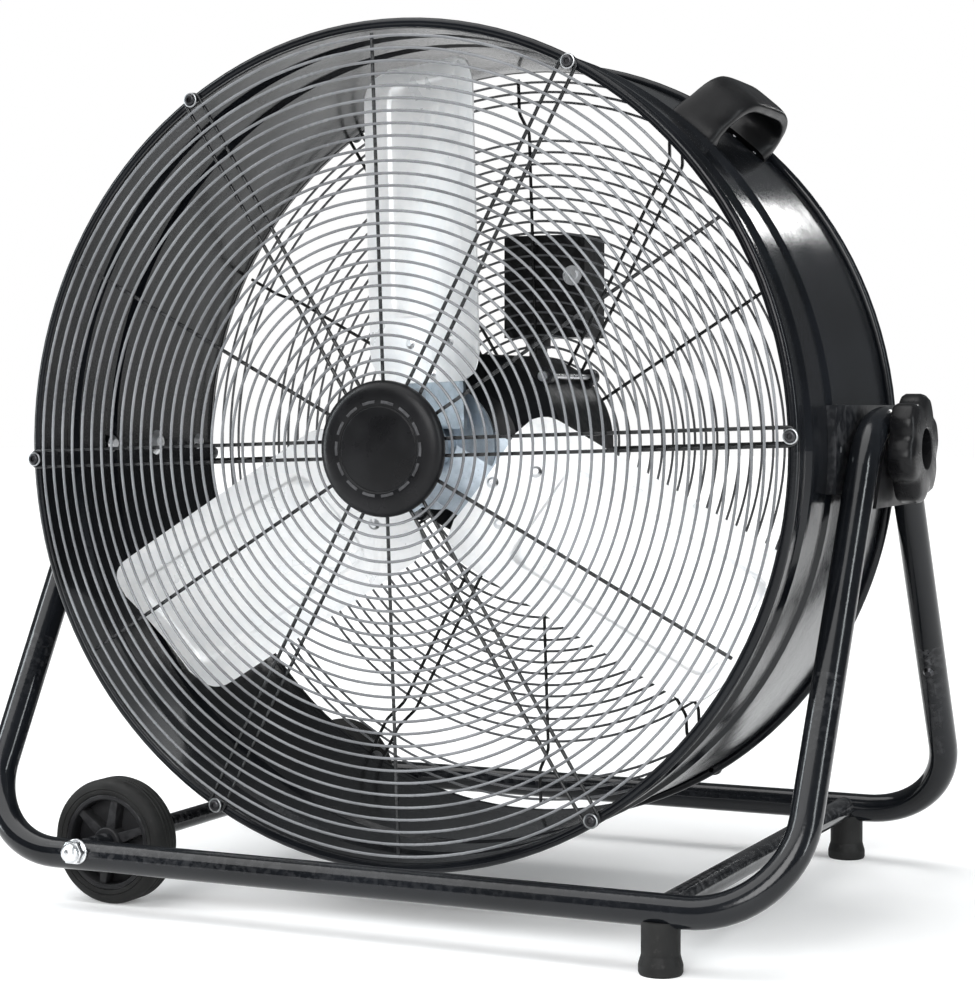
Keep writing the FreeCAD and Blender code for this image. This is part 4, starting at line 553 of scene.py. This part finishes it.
def wire_ring(bm, radius, y, gauge, steps=144, around=10):
    """Closed ring of round wire about the drum's axis."""
    turns = [2 * math.pi * i / steps for i in range(steps)]
    path = [PIVOT + Vector((radius * math.cos(a), y, radius * math.sin(a))) for a in turns]
    circle = round_section(gauge, around)
    sweep(bm, path, lambda i: circle,
          lambda i: (Vector((math.cos(turns[i]), 0, math.sin(turns[i]))), Vector((0, 1, 0))), closed=True)


def wire(bm, path, gauge, around=10):
    """Round wire along a path of points."""
    count = len(path)
    circle = round_section(gauge, around)
    frames = []
    side = None
    for i in range(count):
        ahead = (path[min(i + 1, count - 1)] - path[max(i - 1, 0)]).normalized()
        if side is None:
            side = ahead.orthogonal().normalized()
        side = (side - ahead * side.dot(ahead)).normalized()
        frames.append((side, ahead.cross(side)))
    sweep(bm, path, lambda i: circle, lambda i: frames[i])


def radial(angle, radius, y, shift=0.0):
    a = math.radians(angle)
    across = radius * math.cos(a) - shift * math.sin(a)
    up = radius * math.sin(a) + shift * math.cos(a)
    return PIVOT + Vector((across, y, up))


def leg(angle, stops, shift):
    """Spoke points through (radius, y) stops, with small rounded bends."""
    points = [radial(angle, r, y, shift) for r, y in stops]
    path = [points[0]]
    for before, corner, after in zip(points, points[1:], points[2:]):
        near = corner + (before - corner).normalized() * 0.003
        far = corner + (after - corner).normalized() * 0.003
        path += [near, near.lerp(corner, 0.55).lerp(far.lerp(corner, 0.55), 0.5), far]
    return path + [points[-1]]


def hairpin(bm, angle, stops, gauge):
    """Spoke that doubles back round a screw."""
    half = 0.0065
    end, y = stops[-1]
    loop = []
    for i in range(1, 12):
        a = math.pi / 2 - math.pi * i / 12
        loop.append(radial(angle, end + half * math.cos(a), y, half * math.sin(a)))
    wire(bm, leg(angle, stops, half) + loop + leg(angle, stops, -half)[::-1], gauge)


def guard(word, ring_radii, stops_out, stops_single):
    """Welded wire guard: rings coloured lighter than the darker spokes, a painted highlight on the same black
    wire.
    """
    rings = bmesh.new()
    for radius, y in ring_radii:
        wire_ring(rings, radius, y, RING_GAUGE)
    piece(rings, f"{word}_guard_rings", Matrix(), "drum", "guard_wire", [f"{word}_guard"],
          FINISHES["ring_wire"], sharp=60)
    spokes = bmesh.new()
    for i in range(6):
        hairpin(spokes, 2 + 60 * i, stops_out, SPOKE_GAUGE)
        wire(spokes, leg(32 + 60 * i, stops_single, 0.0), SPOKE_GAUGE)
    piece(spokes, f"{word}_guard_spokes", Matrix(), "drum", "guard_wire", [f"{word}_guard"], sharp=60)


def guards():
    low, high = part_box("front_guard")
    front = low.y + 0.0013
    spoke = front + 0.0028
    radii = [(0.058 + i * 0.253 / 27, front) for i in range(28)]
    guard("front", radii, [(0.030, spoke), (LOOP_CIRCLE, spoke)], [(0.030, spoke), (0.314, spoke)])
    low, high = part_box("rear_guard")
    face = high.y - 0.0013
    rim = face - 0.020
    radii = [(0.074 + i * 0.188 / 19, face) for i in range(20)]
    radii += [(0.293 + i * 0.0085, rim) for i in range(3)]
    over, under = face - 0.0028, rim - 0.0028
    bends = [(0.030, over), (0.269, over), (0.284, under)]
    guard("rear", radii, bends + [(LOOP_CIRCLE, under)], bends + [(0.313, under)])


# ------------------------------------------------------------ fan blades


def spaced(low, high, steps, crowds):
    """Even values between two limits, with extra ones crowded round the given places."""
    values = {round(low + (high - low) * i / steps, 3) for i in range(steps + 1)}
    for place in crowds:
        values = {v for v in values if abs(v - place) > 2.6}
        values |= {round(place + k * 0.7, 3) for k in range(-3, 4)}
    return sorted(values)


def blade_height(x, out):
    """Front face of the cambered blade with its pressed panel, in millimetres."""
    camber = 261 - math.sqrt(261 ** 2 - x ** 2)
    corner = 14
    dx = abs(x) - (44 - corner)
    dz = abs(out - 196) - (92 - corner)
    outside = math.hypot(max(dx, 0), max(dz, 0)) + min(max(dx, dz), 0) - corner
    step = min(max((1.1 - outside) / 2.2, 0), 1)
    return camber - 2.3 * step * step * (3 - 2 * step)


def border(rows):
    """Outer points of a grid of rows, in order round it."""
    return rows[0] + [row[-1] for row in rows[1:]] + rows[-1][-2::-1] + [row[0] for row in rows[-2:0:-1]]


def fan_blades():
    """Galvanised paddles: cambered sheet with rounded corners and a shallow pressed panel."""
    root, tip = 51, 302
    across = spaced(-68, 68, 30, (-44, 44))
    along = spaced(root, tip, 46, (104, 288))
    for index, angle in enumerate((91.5, 211.5, 331.5), start=1):
        a = math.radians(angle)
        out = Vector((math.cos(a), 0, math.sin(a)))
        around = Vector((-math.sin(a), 0, math.cos(a)))
        pitch = math.radians(25)
        chord = around * math.cos(pitch) + Vector((0, 1, 0)) * math.sin(pitch)
        front = out.cross(chord)
        centre = PIVOT + Vector((0, -0.092, 0))
        bm = bmesh.new()
        layers = []
        for drop in (0.0, 1.4):
            rows = []
            for v in along:
                inset = max(26 - min(v - root, tip - v), 0)
                shrink = (68 - 26 + math.sqrt(max(26 ** 2 - inset ** 2, 0.0))) / 68
                rows.append([bm.verts.new(centre + (chord * x * shrink + out * v
                                                    + front * (blade_height(x * shrink, v) - drop)) / 1000)
                             for x in across])
            layers.append(rows)
            for low_row, high_row in zip(rows, rows[1:]):
                for i in range(len(across) - 1):
                    bm.faces.new((low_row[i], low_row[i + 1], high_row[i + 1], high_row[i]))
        top, back = layers
        face, rear = border(top), border(back)
        for i in range(len(face)):
            j = (i + 1) % len(face)
            bm.faces.new((face[i], face[j], rear[j], rear[i]))
        piece(bm, f"paddle_{index}", Matrix(), "fan", "galvanised", [f"fan_blade_{index}"], sharp=50)


def dome_screw(bm):
    lathe(bm, [(2.4, -1), (2.4, 3.5), (4.3, 4.2), (4.2, 5.3), (3.5, 6.0), (2.3, 6.4), (1.9, 6.3), (1.6, 5.0),
               (0, 4.8)], 28)


def screw_flange(bm):
    lathe(bm, [(2.5, 3.3), (5.6, 3.3), (5.8, 3.8), (5.6, 4.5), (4.9, 4.7), (4.5, 4.3), (2.5, 4.1)], 36,
          closed=True)


def guard_screws():
    """Dark dome-headed socket screws with a bright flange over each wire loop."""
    low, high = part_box("guard_screws")
    heads = bmesh.new()
    flanges = bmesh.new()
    for y, turn in ((low.y, FRONT), (high.y, REAR)):
        inward = 0.0064 if turn is FRONT else -0.0064
        for i in range(6):
            a = math.radians(2 + 60 * i)
            spot = Vector((PIVOT.x + SCREW_CIRCLE * math.cos(a), y + inward,
                           PIVOT.z + SCREW_CIRCLE * math.sin(a)))
            joined(heads, dome_screw, at(turn, spot))
            joined(flanges, screw_flange, at(turn, spot))
    piece(heads, "guard_dome_screws", Matrix(), "drum", "dark_screw", ["guard_screws"], sharp=50)
    piece(flanges, "guard_screw_flanges", Matrix(), "drum", "dark_screw", ["guard_screws"],
          FINISHES["flange_zinc"], sharp=50)


# ------------------------------------------------------------ stage


def floor():
    f = Finish("floor_paper", specular=0.3)
    base = f.mix(f.remap(f.noise(1.5, 4), 0.3, 0.7, 0.0, 1.0), (0.89, 0.89, 0.89), (0.92, 0.92, 0.92))
    f.colour(base).roughness(f.remap(f.noise(30, 3), 0.3, 0.7, 0.55, 0.7)).bump([(f.noise(300, 2), 0.00005)])
    f.shader.inputs["Emission Color"].default_value = (1.0, 1.0, 1.0, 1.0)
    f.shader.inputs["Emission Strength"].default_value = 0.16
    bm = bmesh.new()
    bmesh.ops.create_grid(bm, x_segments=2, y_segments=2, size=15)
    mesh = bpy.data.meshes.new("floor")
    bm.to_mesh(mesh)
    bm.free()
    mesh.materials.append(f.mat)
    plane = bpy.data.objects.new("floor", mesh)
    bpy.context.scene.collection.objects.link(plane)


def softbox(name, place, aim, width, height, power, colour=(1, 1, 1)):
    data = bpy.data.lights.new(name, "AREA")
    data.shape = "RECTANGLE"
    data.size = width
    data.size_y = height
    data.energy = power
    data.color = colour
    lamp = bpy.data.objects.new(name, data)
    bpy.context.scene.collection.objects.link(lamp)
    lamp.location = place
    lamp.rotation_euler = (Vector(aim) - Vector(place)).to_track_quat("-Z", "Y").to_euler()


def broad_light(name, place, strength, spread):
    """Wide, even light from one side of the studio."""
    data = bpy.data.lights.new(name, "SUN")
    data.energy = strength
    data.angle = math.radians(spread)
    lamp = bpy.data.objects.new(name, data)
    bpy.context.scene.collection.objects.link(lamp)
    lamp.rotation_euler = (-Vector(place)).to_track_quat("-Z", "Y").to_euler()


def studio():
    """White backdrop that lights the object only dimly, with soft lamps above, in front and at the sides."""
    world = bpy.data.worlds.new("studio_world")
    bpy.context.scene.world = world
    bpy.context.scene.view_settings.view_transform = "Standard"
    world.use_nodes = True
    tree = world.node_tree
    dim_room = tree.nodes["Background"]
    dim_room.inputs["Color"].default_value = (0.93, 0.97, 1.0, 1.0)
    dim_room.inputs["Strength"].default_value = 0.14
    backdrop = tree.nodes.new("ShaderNodeBackground")
    backdrop.inputs["Color"].default_value = (1.0, 1.0, 1.0, 1.0)
    chooser = tree.nodes.new("ShaderNodeMixShader")
    rays = tree.nodes.new("ShaderNodeLightPath")
    tree.links.new(rays.outputs["Is Camera Ray"], chooser.inputs["Fac"])
    tree.links.new(dim_room.outputs["Background"], chooser.inputs[1])
    tree.links.new(backdrop.outputs["Background"], chooser.inputs[2])
    tree.links.new(chooser.outputs["Shader"], tree.nodes["World Output"].inputs["Surface"])
    broad_light("overhead", (-0.3, -0.25, 1.0), 3.0, 70)
    broad_light("front", (0.25, -1.0, 0.45), 2.4, 35)
    softbox("left_strip", (-2.2, -0.9, 1.0), (0, 0, 0.35), 0.35, 2.4, 32, (0.9, 0.97, 1.0))
    softbox("right_strip", (2.4, -0.6, 1.1), (0, 0, 0.35), 0.3, 2.4, 30, (0.92, 0.98, 1.0))
    softbox("rear_strip", (0.45, 2.4, 1.35), (0, 0, 0.35), 0.3, 0.12, 1.2)


def camera():
    data = bpy.data.cameras.new("photo_camera")
    data.sensor_width = 36
    data.lens = 84
    eye = bpy.data.objects.new("photo_camera", data)
    bpy.context.scene.collection.objects.link(eye)
    yaw = math.radians(24.7)
    pitch = math.radians(2.47)
    eye.location = (0.817, -1.767, PIVOT.z + 0.035)
    gaze = Vector((-math.sin(yaw) * math.cos(pitch), math.cos(yaw) * math.cos(pitch), -math.sin(pitch)))
    eye.rotation_euler = gaze.to_track_quat("-Z", "Y").to_euler()
    bpy.context.scene.camera = eye


centre_cap()
tilt_knobs()
wheels()
cap_nuts()
carry_handle()
guards()
fan_blades()
guard_screws()
floor()
studio()
camera()
